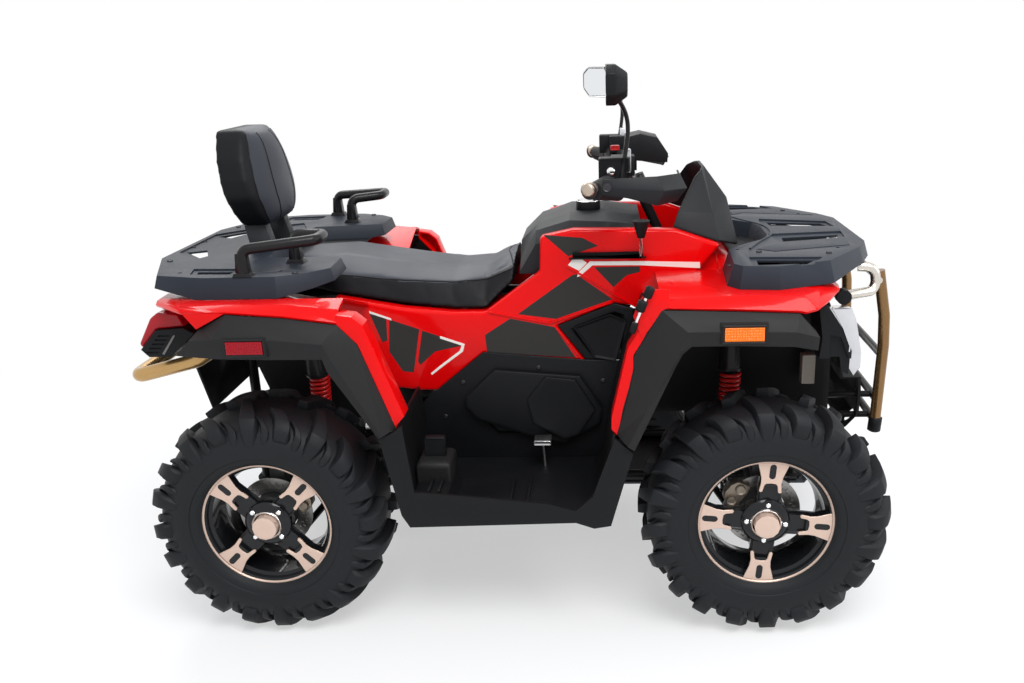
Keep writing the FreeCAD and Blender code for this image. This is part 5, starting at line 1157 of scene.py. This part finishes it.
def welt(name, points):
    return wire_curve(name, points, WELT_R, smooth_line=True, resolution=2)


vinyl = finish("seat_side_vinyl", (0.0085, 0.0090, 0.0105), 0.46, tone=0.08,
               grain_scale=650.0, grain_depth=0.35, specular=0.12)
# The side vinyl made lighter and bluer: a painted sheen of reflected sky, not a second vinyl.
vinyl_painted_sheen = finish("seat_top_vinyl", (0.020, 0.0235, 0.034), 0.46, tone=0.08,
                   grain_scale=650.0, grain_depth=0.35, specular=0.35)
seat = merged_copy("seat", "seat_cushion")
as_foam(seat, SEAT_VOXEL, SEAT_ROUNDS)
blow_up(seat, SEAT_SWELL)
bpy.ops.object.shade_smooth()
seat.data.materials.clear()
seat.data.materials.append(vinyl)
# The top panel's faces get the painted sheen.
paint_faces(seat, vinyl_painted_sheen, on_top_panel)
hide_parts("seat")
settle(seat, "chassis", "seat_vinyl")
welts = []
for side in (-1, 1):
    line = []
    for step in range(WELT_STEPS):
        x = WELT_FROM_X + WELT_RUN * step / (WELT_STEPS - 1)
        line.append((x, side * (crease_at(x)[1] - WELT_IN)))
    welts.append(welt("welt", laid_on(seat, line, -0.0002)))
across = [(FRONT_WELT_X + FRONT_WELT_SWEEP * abs(tenth / 10), FRONT_WELT_HALF * tenth / 10)
          for tenth in range(-10, 11)]
welts.append(welt("front_welt", laid_on(seat, across, -0.0004)))
settle(joined(welts, "seat_welts"), "chassis", "seat_vinyl", vinyl)

# Backrest: a crowned foam pad in the same vinyl on a bent plate, with four upright welts on
# its front and two behind, held on a black foot and a grey folded bracket.
PAD_LOW_Z, PAD_HEIGHT = 1.022, 0.262
PAD_HALF_WIDTH = 0.176
PAD_THICK, PAD_CROWN = 0.072, 0.046
PAD_REAR_X = -0.764
PAD_LEAN = 0.17
PAD_COLUMNS, PAD_ROWS = 22, 20
PAD_VOXEL, PAD_ROUNDS = 0.005, 16
# Half width against height, each as a share: a narrow foot, widest below the middle.
PAD_OUTLINE = ((0.0, 0.62), (0.12, 0.82), (0.32, 1.0), (0.50, 1.0), (0.72, 0.90),
               (0.90, 0.72), (1.0, 0.58))
PANEL_SHARE, PANEL_DEPTH = 0.86, 0.04
FRONT_WELTS, REAR_WELTS = (-0.86, -0.42, 0.42, 0.86), (-0.86, 0.86)
FOOT_DEPTH = 0.03


def pad_half_width(height):
    """Half width of the pad at a share of its height."""
    for (h0, w0), (h1, w1) in zip(PAD_OUTLINE, PAD_OUTLINE[1:]):
        if height <= h1:
            return PAD_HALF_WIDTH * (w0 + (w1 - w0) * (height - h0) / (h1 - h0))
    return PAD_HALF_WIDTH * PAD_OUTLINE[-1][1]


def pad_back(height):
    """Where the leaning rear face stands at a share of the pad's height."""
    return PAD_REAR_X - PAD_LEAN * PAD_HEIGHT * height


def backrest_cushion():
    """A grid drawn to the pad's outline, extruded to its thickness, crowned and rounded."""
    piece = started_as("backrest_cushion", bpy.ops.mesh.primitive_grid_add,
                       x_subdivisions=PAD_COLUMNS, y_subdivisions=PAD_ROWS, size=2.0)
    extruded(piece, (0, 0, 1.0))
    for vertex in piece.data.vertices:
        share = (vertex.co.y + 1) / 2
        y = vertex.co.x * pad_half_width(share)
        x = pad_back(share)
        if vertex.co.z > 0.5:
            crown = (1 - vertex.co.x ** 2) ** 0.8 * (1 - (2 * share - 1) ** 4) ** 0.6
            x += PAD_THICK + PAD_CROWN * crown
        vertex.co = (x, y, PAD_LOW_Z + PAD_HEIGHT * share)
    as_foam(piece, PAD_VOXEL, PAD_ROUNDS)
    bpy.ops.object.shade_smooth()
    return piece


def upright_welt(piece, y_share, from_x, toward):
    """A welt laid up one face of the pad, its points found by looking along x."""
    line = []
    for step in range(24):
        share = 0.05 + 0.90 * step / 23
        eye = Vector((from_x, y_share * pad_half_width(share), PAD_LOW_Z + PAD_HEIGHT * share))
        hit, place, normal, _ = piece.ray_cast(eye, Vector((toward, 0, 0)))
        if hit:
            line.append(place - normal * 0.0003)
    return welt("upright_welt", line)


# The faces this picks get the painted sheen, the lighter bluish vinyl.
def on_front_panel(centre, normal):
    """True inside the two outer welts of the pad's front."""
    share = (centre.z - PAD_LOW_Z) / PAD_HEIGHT
    inside = abs(centre.y) < PANEL_SHARE * pad_half_width(share)
    return inside and centre.x > pad_back(share) + PANEL_DEPTH


backrest = backrest_cushion()
backrest.data.materials.append(vinyl)
# The front panel inside the outer welts takes the painted sheen: reflected sky painted as a
# lighter vinyl.
paint_faces(backrest, vinyl_painted_sheen, on_front_panel)
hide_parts("backrest_pad")
settle(backrest, "chassis", "seat_vinyl")
pad_welts = [upright_welt(backrest, share, 0.2, -1) for share in FRONT_WELTS]
pad_welts += [upright_welt(backrest, share, -1.5, 1) for share in REAR_WELTS]
settle(joined(pad_welts, "backrest_welts"), "chassis", "seat_vinyl", vinyl)
bracket_grey = finish("bracket_grey_paint", (0.035, 0.037, 0.040), 0.42, coat=0.2, tone=0.08,
                      grain_scale=400.0, grain_depth=0.05)
mount = dressed("backrest_mount", bracket_grey, 0.0012)
foot_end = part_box("backrest_mount")[0].x + FOOT_DEPTH
paint_faces(mount, black_plastic,
            lambda centre, normal: normal.y < -0.5 and centre.x < foot_end)

# Racks: moulded grey plastic decks with slots, wells and a chamfered rim, each held by
# screws through its holes. The front deck has a raised lip round its opening, and a black
# sheet under the slots of both is painted shade, the shade seen through them.
LIP_R = 0.0035
FRONT_LIP = ((0.619, -0.252), (0.650, -0.170), (0.695, -0.102), (0.709, -0.050), (0.712, 0.0),
             (0.709, 0.050), (0.695, 0.102), (0.650, 0.170), (0.619, 0.252))
FRONT_SCREWS = ((0.636, -0.287), (0.554, -0.367), (0.805, -0.315))
REAR_SCREWS = ((-0.920, -0.248), (-0.524, -0.420), (-0.945, -0.040))
RACK_SCREW_R = 0.0075
SHADE_SHEET_MARGIN, SHADE_SHEET_LIFT, SHADE_SHEET_CLIP = 0.050, 0.012, 0.28
SHADE_SHEET_HALF_WIDTH = {"front_rack": 0.300, "rear_rack": 0.345}


def rack_tray(node, half_width):
    """A black sheet of painted shade under a deck's slots: a clipped outline, extruded and laid
    flat.
    """
    low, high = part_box(node)
    start, end = low.x + SHADE_SHEET_MARGIN, high.x - SHADE_SHEET_MARGIN
    clip = half_width * SHADE_SHEET_CLIP
    outline = [
        (start, -half_width + clip), (start + clip, -half_width), (end - clip, -half_width),
        (end, -half_width + clip), (end, half_width - clip), (end - clip, half_width),
        (start + clip, half_width), (start, half_width - clip),
    ]
    shade_sheet = flat_plate(node + "_tray", outline, 0.0, 0.003)
    shade_sheet.data.transform(Matrix.Translation((0, 0, low.z + SHADE_SHEET_LIFT))
                        @ Matrix.Rotation(-math.pi / 2, 4, "X"))
    soften(shade_sheet, 0.0008, 1, 30.0)
    settle(shade_sheet, "chassis", "black_plastic", black_plastic)


rack_plastic = finish("rack_grey_plastic", (0.022, 0.027, 0.037), 0.40, grain_scale=1100.0,
                      grain_depth=0.3)
front_rack = dressed("front_rack", rack_plastic, 0.003, 3, 16.0)
rear_rack = dressed("rear_rack", rack_plastic, 0.003, 3, 16.0)
lip = wire_curve("front_rack_lip", laid_on(front_rack, FRONT_LIP, 0.0005), LIP_R,
                 smooth_line=True)
settle(lip, "chassis", "rack_grey", rack_plastic)
rack_screws = []
for rack, places in ((front_rack, FRONT_SCREWS), (rear_rack, REAR_SCREWS)):
    for place in laid_on(rack, [(x, y * side) for x, y in places for side in (1, -1)], 0.0008):
        rack_screws.append(screw_head("rack_screw", place, UPWARD, RACK_SCREW_R))
settle(joined(rack_screws, "rack_screws"), "chassis", "rack_grey", screw_steel)
# Each deck gets a black sheet under its slots as painted shade.
for node, half_width in SHADE_SHEET_HALF_WIDTH.items():
    rack_tray(node, half_width)

# Grab handles: cast loops of flat-oval section on tapered posts, black crackle paint, each
# bolted to the rear deck at both ends.
handle_black = finish("handle_black", (0.010, 0.010, 0.011), 0.34, coat=0.3,
                      grain_scale=600.0, grain_depth=0.25)
dressed("grab_handles", handle_black, 0.0025, 3, 30.0)

# Tank cover and cowl: dark grey moulded plastic shells with crisp folded edges. The filler
# cap is a bright turned top with a sunk ring, over a black skirt.
CAP_STEPS = 40
CAP_SKIRT = 0.006
# Rings worked into the top: the depth, then border and reach as shares of the radius.
CAP_RINGS = ((-0.0001, 0.16, 1.1), (0.003, 0.10, 0.5), (-0.003, 0.30, 0.3))


def filler_cap(low, high):
    """A cylinder whose top is inset three times: a rim, a sunk ring and a raised middle."""
    radius = (high.x - low.x) / 2
    middle = (low + high) / 2
    piece = started_as("filler_cap", bpy.ops.mesh.primitive_cylinder_add, vertices=CAP_STEPS,
                       radius=radius, depth=high.z - low.z)
    piece.data.transform(Matrix.Translation(middle))
    for depth, border, reach in CAP_RINGS:
        sink(piece, UPWARD, depth, radius * border,
             lambda c: math.hypot(c.x - middle.x, c.y - middle.y) < radius * reach)
    soften(piece, 0.0010, 2, 30.0)
    return piece


trim_plastic = finish("trim_dark_grey_plastic", (0.016, 0.017, 0.019), 0.44,
                      grain_scale=1100.0, grain_depth=0.3)
dressed("tank_cover", trim_plastic, 0.005, 3, 16.0)
dressed("cowl", trim_plastic, 0.003, 3, 14.0)
cap_low, cap_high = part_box("fuel_cap")
cap = filler_cap(cap_low, cap_high)
cap.data.materials.append(chrome)
paint_faces(cap, black_plastic,
            lambda centre, normal: abs(normal.z) < 0.5 and centre.z < cap_high.z - CAP_SKIRT)
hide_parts("fuel_cap")
settle(cap, "chassis", "chrome")

# Gear lever: a black bell-shaped knob on a bright rod that stands in a black gate, which is
# let into the right side panel beside the tank.
GATE_HEIGHT, GATE_LIFT = 0.019, 0.020
ROD_Y, KNOB_HEIGHT = -0.252, 0.046
lever = dressed("gear_lever", black_plastic, 0.0015)
lever_low, lever_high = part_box("gear_lever")
for vertex in lever.data.vertices:
    if vertex.co.z < lever_low.z + GATE_HEIGHT:
        vertex.co.z += GATE_LIFT
paint_faces(lever, chrome,
            lambda centre, normal: centre.y < ROD_Y and centre.z < lever_high.z - KNOB_HEIGHT)

# Front end: the black moulded lamp surround and grille, the tall pale lamps with a black skirt
# and a side painted grey as shade each, and a thin plated trim strip let into each shroud.
TRIM_LINE = ((0.776, 0.868), (0.8045, 0.8180), (0.8225, 0.7720), (0.8215, 0.7580))
TRIM_Y = -0.5005
TRIM_R = 0.0022
LAMP_SKIRT = 0.022
LAMP_SIDE_Y, LAMP_SIDE_X = 0.368, 0.838


# Picks the faces that look to the right on each lamp's outer part, which get the painted shade.
def on_lamp_side(centre, normal):
    return abs(centre.y) > LAMP_SIDE_Y and normal.y < -0.5 and centre.x < LAMP_SIDE_X


lamp_white = finish("lamp_reflector_white", (0.62, 0.62, 0.64), 0.16, metallic=0.3, coat=0.8,
                    tone=0.06, tone_scale=30.0)
# A mid grey painted on the lamps' sides as shade.
lamp_painted_shade = finish("lamp_inner_grey", (0.30, 0.31, 0.34), 0.30, metallic=0.5, tone=0.2,
                     tone_scale=40.0)
silver_trim = finish("silver_trim", (0.62, 0.63, 0.66), 0.25, metallic=0.9, tone=0.04)
dressed("nose", black_plastic, 0.003, 3, 16.0)
lamps = dressed("headlamps", lamp_white, 0.004, 3, 20.0)
skirt_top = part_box("headlamps")[0].z + LAMP_SKIRT
paint_faces(lamps, black_plastic, lambda centre, normal: centre.z < skirt_top)
# The lamps' sides take the painted shade.
paint_faces(lamps, lamp_painted_shade, on_lamp_side)
trim = wire_curve("lamp_trim", [(x, TRIM_Y, z) for x, z in TRIM_LINE], TRIM_R, resolution=2)
both_sides(trim, "chassis", "bright_tube", silver_trim)

# Bumpers: the front uprights are bronze-painted tube with black end caps, joined by black
# cross tubes. Bright loops with black end knobs stand beside them, and the rear is one tube.
POST_Y, POST_R = 0.200, 0.0152
POST_FROM_X = 0.952
POST_CAP_TOP = 0.445
POST_CAP = ((0.9865, -POST_Y, 0.466), (0.9838, -POST_Y, 0.428), 0.0180)
LOOP_KNOB_Y, LOOP_KNOB_X = 0.2800, 0.875
END_STEPS = 20


def behind_or_between(centre, normal):
    """The black parts of the front bumper: struts, cross tubes and lower caps."""
    beside = abs(abs(centre.y) - POST_Y) > POST_R
    return centre.x > 0 and (beside or centre.x < POST_FROM_X or centre.z < POST_CAP_TOP)


def end_cap(name, low, high, radius):
    """A rubber cap on a tube's end: a cylinder, both its ends inset and domed."""
    line = Vector(high) - Vector(low)
    piece = started_as(name, bpy.ops.mesh.primitive_cylinder_add, vertices=END_STEPS,
                       radius=radius, depth=line.length)
    sink(piece, UPWARD, -0.003, radius * 0.25)
    sink(piece, UPWARD, -0.001, radius * 0.35)
    sink(piece, (0, 0, -1), -0.003, radius * 0.25)
    stand_along(piece, line, (Vector(low) + Vector(high)) / 2)
    smooth(piece, 60.0)
    return piece


bronze = finish("bronze_tube_paint", (0.24, 0.135, 0.055), 0.26, metallic=0.8, coat=0.6,
                tone=0.12, tone_scale=20.0, grain_scale=700.0, grain_depth=0.08)
# The same bronze painted lighter: painted light for the highlight the rear tube catches.
bronze_painted_light = finish("gold_tube_paint", (0.50, 0.31, 0.12), 0.28, metallic=0.80, coat=0.6,
              tone_scale=20.0, grain_scale=700.0, grain_depth=0.08)
bright_tube = finish("bright_tube", (0.70, 0.66, 0.60), 0.26, metallic=1.0, tone=0.06)
bumpers = dressed("bumpers", bronze, 0.0008, 1, 40.0)
paint_faces(bumpers, black_paint, behind_or_between)
# The rear tube takes the lighter bronze, which is painted light.
paint_faces(bumpers, bronze_painted_light, lambda centre, normal: centre.x < 0)
loops = dressed("bumper_loops", bright_tube, 0.0008, 1, 40.0)
paint_faces(loops, black_plastic,
            lambda centre, normal: abs(centre.y) > LOOP_KNOB_Y and centre.x < LOOP_KNOB_X)
both_sides(end_cap("post_cap", *POST_CAP), "chassis", "bumper_bronze", black_plastic)

# Bonnet latch and reservoir: rubber pulls on a bright rod beside each front leg, and the
# pale fluid box behind the right lamp, screwed to the frame.
PULL_Y = -0.5620
PULL_ROD_R = 0.0035
PULL_ROD = ((0.344, PULL_Y, 0.930), (0.306, PULL_Y, 0.836))
# Lower and upper end, (x, z), and radius of each pull.
PULLS = (((0.340, 0.918), (0.348, 0.938), 0.0110), ((0.323, 0.886), (0.331, 0.906), 0.0115),
         ((0.305, 0.834), (0.313, 0.854), 0.0080))
FLUID_BOX = ((0.773, -0.225, 0.575), (0.808, -0.190, 0.656), 0.004)
beige_box = finish("reservoir_beige", (0.34, 0.31, 0.26), 0.45, coat=0.2, tone=0.08)
both_sides(wire_curve("pull_rod", PULL_ROD, PULL_ROD_R, resolution=2),
           "chassis", "plated_steel", chrome)
for number, (low, high, radius) in enumerate(PULLS):
    pull = end_cap(f"rubber_pull_{number + 1}", (low[0], PULL_Y, low[1]),
                   (high[0], PULL_Y, high[1]), radius)
    both_sides(pull, "chassis", "black_plastic", black_plastic)
settle(small_block("fluid_box", *FLUID_BOX), "chassis", "plated_steel", beige_box)

# Tail: black moulded cheeks with five louvres and a pale strut line, and red lamps with a
# bevelled upper edge, clipped into the panel between the rear wings.
STRUT = ((-853, 804), (-848, 803), (-884, 752), (-890, 754))
STRUT_Y, STRUT_THICK = -0.4320, 0.0030
lamp_red = finish("tail_lamp_red", (0.36, 0.003, 0.010), 0.12, coat=1.0, tone=0.08,
                  tone_scale=40.0, grain_scale=200.0, grain_depth=0.05)
pale_line = finish("pale_grey_trim", (0.16, 0.155, 0.145), 0.35, coat=0.3)
dressed("tail_panel", black_plastic, 0.0025, 2, 16.0)
dressed("tail_lamps", lamp_red, 0.006, 3, 20.0)
both_sides(soft_plate("cheek_strut", STRUT, STRUT_Y, STRUT_THICK, 0.0010, 2, 30.0),
           "chassis", "black_plastic", pale_line)

# Reflectors: moulded prismatic lenses, orange in front and red behind, in black bezels
# pressed into the flares.
BEZEL_WALL, BEZEL_IN = 0.004, 0.0040
PRISM_COLUMNS, PRISM_ROWS = 14, 5
LENS_IN, LENS_THICK = 0.0010, 0.0035


def prism_lens(node):
    """A grid of small square prisms on the lens's face, raised from a shallow block."""
    low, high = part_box(node)
    piece = started_as(node + "_lens", bpy.ops.mesh.primitive_grid_add,
                       x_subdivisions=PRISM_COLUMNS, y_subdivisions=PRISM_ROWS, size=1.0)
    for vertex in piece.data.vertices:
        vertex.co = (low.x + (high.x - low.x) * (vertex.co.x + 0.5), low.y + LENS_IN,
                     low.z + (high.z - low.z) * (vertex.co.y + 0.5))
    extruded(piece, (0, LENS_THICK, 0))
    sink(piece, OUTWARD, -0.0008, 0.0012, each=True)
    return piece


def bezel(node):
    """Four bars round the lens, one for each side."""
    low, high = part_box(node)
    y = low.y + BEZEL_IN
    left, right = low.x - BEZEL_WALL, high.x + BEZEL_WALL
    foot, head = low.z - BEZEL_WALL, high.z + BEZEL_WALL
    path = [(left, y, foot), (right, y, foot), (right, y, head), (left, y, head)]
    name = node + "_bezel"
    return joined([wire_curve(name, ends, BEZEL_WALL * 0.75, resolution=1)
                   for ends in zip(path, path[1:] + path[:1])], name)


lens_amber = finish("amber_lens", (0.90, 0.17, 0.004), 0.30, coat=0.5, tone_scale=80.0)
lens_red = finish("red_lens", (0.30, 0.002, 0.010), 0.25, coat=0.6, tone_scale=80.0)
for node, colour, slot in (("reflectors_front", lens_amber, "reflector_amber"),
                           ("reflectors_rear", lens_red, "reflector_red")):
    lens = prism_lens(node)
    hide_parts(node)
    both_sides(lens, "chassis", slot, colour)
    both_sides(bezel(node), "chassis", "black_plastic", flare_plastic)

# Handlebar: a bent steel tube with ribbed rubber grips, plated bar ends, switch blocks with a
# brake reservoir, and folded hand guards screwed to the bar's ends.
GRIP_RIBS, GRIP_STEPS = 12, 28
GRIP_SLEEVE = ((0.224, -0.415, 1.140), (0.282, -0.326, 1.122), 0.0205)
BAR_END = ((0.216, -0.418, 1.145), (0.205, -0.442, 1.148), 0.017)
GUARD_ROWS = (
    ((0.240, -0.450, 1.172), (0.240, -0.454, 1.156), (0.240, -0.450, 1.138)),
    ((0.300, -0.452, 1.175), (0.306, -0.460, 1.150), (0.300, -0.452, 1.128)),
    ((0.368, -0.446, 1.176), (0.384, -0.456, 1.144), (0.368, -0.446, 1.108)),
    ((0.424, -0.372, 1.172), (0.442, -0.378, 1.138), (0.420, -0.364, 1.106)),
    ((0.428, -0.272, 1.168), (0.442, -0.272, 1.140), (0.426, -0.272, 1.114)),
)
GUARD_WALL = 0.005
GUARD_SCREW = ((0.252, -0.4570, 1.156), OUTWARD, 0.0105, 0.006)
PLATE_HALF, PLATE_FROM_X = 0.064, 0.372


def folded_guard(rows, wall):
    """A grid laid through the rows, thickened to a wall and rounded at its folds."""
    piece = started_as("hand_guard", bpy.ops.mesh.primitive_grid_add,
                       x_subdivisions=len(rows[0]) - 1, y_subdivisions=len(rows) - 1, size=1.0)
    for vertex, place in zip(piece.data.vertices, [p for row in rows for p in row]):
        vertex.co = place
    bpy.ops.object.mode_set(mode="EDIT")
    bpy.ops.mesh.select_all(action="SELECT")
    bpy.ops.mesh.normals_make_consistent(inside=False)
    bpy.ops.object.mode_set(mode="OBJECT")
    modified(piece, "wall", "SOLIDIFY", thickness=wall, offset=0.0)
    soften(piece, 0.0014, 2, 12.0)
    return piece


def ribbed_grip(start, end, radius):
    """A turned sleeve in slices: every other slice is drawn in to leave raised ribs."""
    line = Vector(end) - Vector(start)
    slices = GRIP_RIBS * 2
    pitch = line.length / slices
    profile = []
    for step in range(slices):
        wide = radius * (0.90 if step % 2 else 1.0)
        low = -line.length / 2 + pitch * step
        profile += [(wide, low), (wide, low + pitch * 0.92)]
    profile = [(0.004, profile[0][1])] + profile + [(0.004, profile[-1][1])]
    sleeve = turned_ring("grip", profile, GRIP_STEPS)
    sleeve.data.transform(Matrix.Rotation(math.pi / 2, 4, "X"))
    stand_along(sleeve, line, (Vector(start) + Vector(end)) / 2)
    smooth(sleeve, 30.0)
    return sleeve


def on_dash_plate(centre, normal):
    return abs(centre.y) < PLATE_HALF and centre.x > PLATE_FROM_X and normal.x > 0.55


rubber_grip = finish("grip_rubber", (0.016, 0.016, 0.017), 0.66, grain_depth=0.4, specular=0.3)
end_metal = finish("bar_end_metal", (0.50, 0.42, 0.34), 0.34, metallic=0.9, tone=0.15,
                   tone_scale=90.0)
dressed("handlebar", black_paint)
dressed("grips", rubber_grip, 0.0015)
both_sides(ribbed_grip(*GRIP_SLEEVE), "steering", "grip_rubber", rubber_grip)
guard = folded_guard(GUARD_ROWS, GUARD_WALL)
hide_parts("hand_guards")
both_sides(guard, "steering", "trim_grey", trim_plastic)
both_sides(screw_head("guard_screw", *GUARD_SCREW), "steering", "trim_grey", screw_steel)
both_sides(end_cap("bar_end", *BAR_END), "steering", "grip_rubber", end_metal)
controls = dressed("controls", black_plastic, 0.003, 2, 20.0)
paint_faces(controls, silver_trim, on_dash_plate)

# Controls' small parts: the mirror clamp's bright block, the black switch block, the red stop
# switch and the horn ring, each pushed into or screwed onto the switchgear.
CLAMP_BLOCK = ((0.296, -0.318, 1.170), (0.312, -0.296, 1.226), 0.003)
SWITCH_BLOCK = ((0.232, -0.330, 1.152), (0.300, -0.288, 1.206), 0.004)
STOP_SWITCH = ((0.262, -0.326, 1.226), (0.284, -0.304, 1.236), 0.002)
HORN_RING = ((0.262, -0.330, 1.176), (0.262, -0.338, 1.176), 0.011)
switch_red = finish("switch_red", (0.42, 0.006, 0.008), 0.35, coat=0.3, tone=0.05)
both_sides(small_block("clamp_block", *CLAMP_BLOCK), "steering", "plated_steel", silver_trim)
both_sides(small_block("switch_block", *SWITCH_BLOCK), "steering", "black_plastic", black_plastic)
settle(small_block("stop_switch", *STOP_SWITCH), "steering", "body_red", switch_red)
settle(end_cap("horn_ring", *HORN_RING), "steering", "plated_steel", chrome)

# Mirrors: black moulded shells with clipped corners on bent rods, each with a silvered glass
# set into its rear face. The left one is turned a little further out on its ball joint.
SHELL_OUTLINE = ((-0.80, -1.0), (0.55, -1.0), (1.0, -0.45), (1.0, 0.6), (0.6, 1.0), (-0.6, 1.0),
                 (-1.0, 0.4), (-1.0, -0.5))
SHELL_HALF_WIDTH, SHELL_HALF_HEIGHT = 0.068, 0.0455
SHELL_HALF_DEPTH, SHELL_BULGE = 0.012, 0.028
GLASS_INSET, GLASS_DEPTH, GLASS_X = 0.006, 0.004, -0.0075
STEM_R = 0.0055
BOOT_R, BOOT_LENGTH = 0.011, 0.034
MIRROR_X, MIRROR_OUT, MIRROR_Z = 0.262, 0.402, 1.384
FOOT_X, FOOT_OUT, FOOT_Z = 0.285, 0.335, 1.130
# The rod's and the boot's places as steps forward, outwards and up, from the rod's foot or
# from the shell.
STEM_FROM_FOOT = ((0.0, 0.0, 0.0), (0.012, -0.012, 0.085), (0.026, -0.010, 0.150),
                  (0.008, 0.020, 0.205))
STEM_TO_SHELL = ((0.014, -0.014, -0.030), (0.012, 0.0, 0.0))
BOOT_FROM_FOOT = (0.012, -0.012, 0.060)
LEFT_SWING = math.radians(38.0)
LEFT_SLIDE = Vector((-0.030, -0.004, -0.022))


def mirror_shell():
    """A plate with clipped corners, extruded and drawn in behind, its face inset for glass."""
    outline = [(y * SHELL_HALF_WIDTH, z * SHELL_HALF_HEIGHT) for y, z in SHELL_OUTLINE]
    piece = flat_plate("mirror_shell", outline, -SHELL_HALF_DEPTH, 2 * SHELL_HALF_DEPTH)
    sink(piece, (0, 1, 0), -SHELL_BULGE, SHELL_HALF_HEIGHT * 0.42)
    sink(piece, OUTWARD, GLASS_DEPTH, GLASS_INSET)
    piece.data.transform(Matrix.Rotation(-math.pi / 2, 4, "Z"))
    soften(piece, 0.004, 3, 18.0)
    return piece


def stepped(start, side, steps):
    """A point some steps from another: forward, outwards on its own side, and up."""
    return start + Vector((steps[0], side * steps[1], steps[2]))


mirror_glass = finish("mirror_glass", (0.80, 0.82, 0.84), 0.04, metallic=1.0, tone=0.01,
                      grain_depth=0.0)
mirrors = []
for side in (-1, 1):
    shell = mirror_shell()
    shell.data.materials.append(black_plastic)
    paint_faces(shell, mirror_glass,
                lambda centre, normal: normal.x < -0.9 and centre.x < GLASS_X)
    place = Vector((MIRROR_X, side * MIRROR_OUT, MIRROR_Z))
    if side == 1:
        flipped(shell)
        shell.data.transform(Matrix.Rotation(LEFT_SWING, 4, "Z"))
        place += LEFT_SLIDE
    shell.data.transform(Matrix.Translation(place))
    foot = Vector((FOOT_X, side * FOOT_OUT, FOOT_Z))
    line = [stepped(foot, side, steps) for steps in STEM_FROM_FOOT]
    line += [stepped(place, side, steps) for steps in STEM_TO_SHELL]
    stem = wire_curve("mirror_stem", line, STEM_R, smooth_line=True)
    stem.data.materials.append(black_paint)
    boot = collar("mirror_boot", stepped(foot, side, BOOT_FROM_FOOT), UPWARD, BOOT_R, BOOT_LENGTH)
    boot.data.materials.append(black_plastic)
    mirrors += [shell, stem, boot]
mirrors = joined(mirrors, "mirror_pair")
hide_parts("mirrors")
settle(mirrors, "steering", "black_plastic")
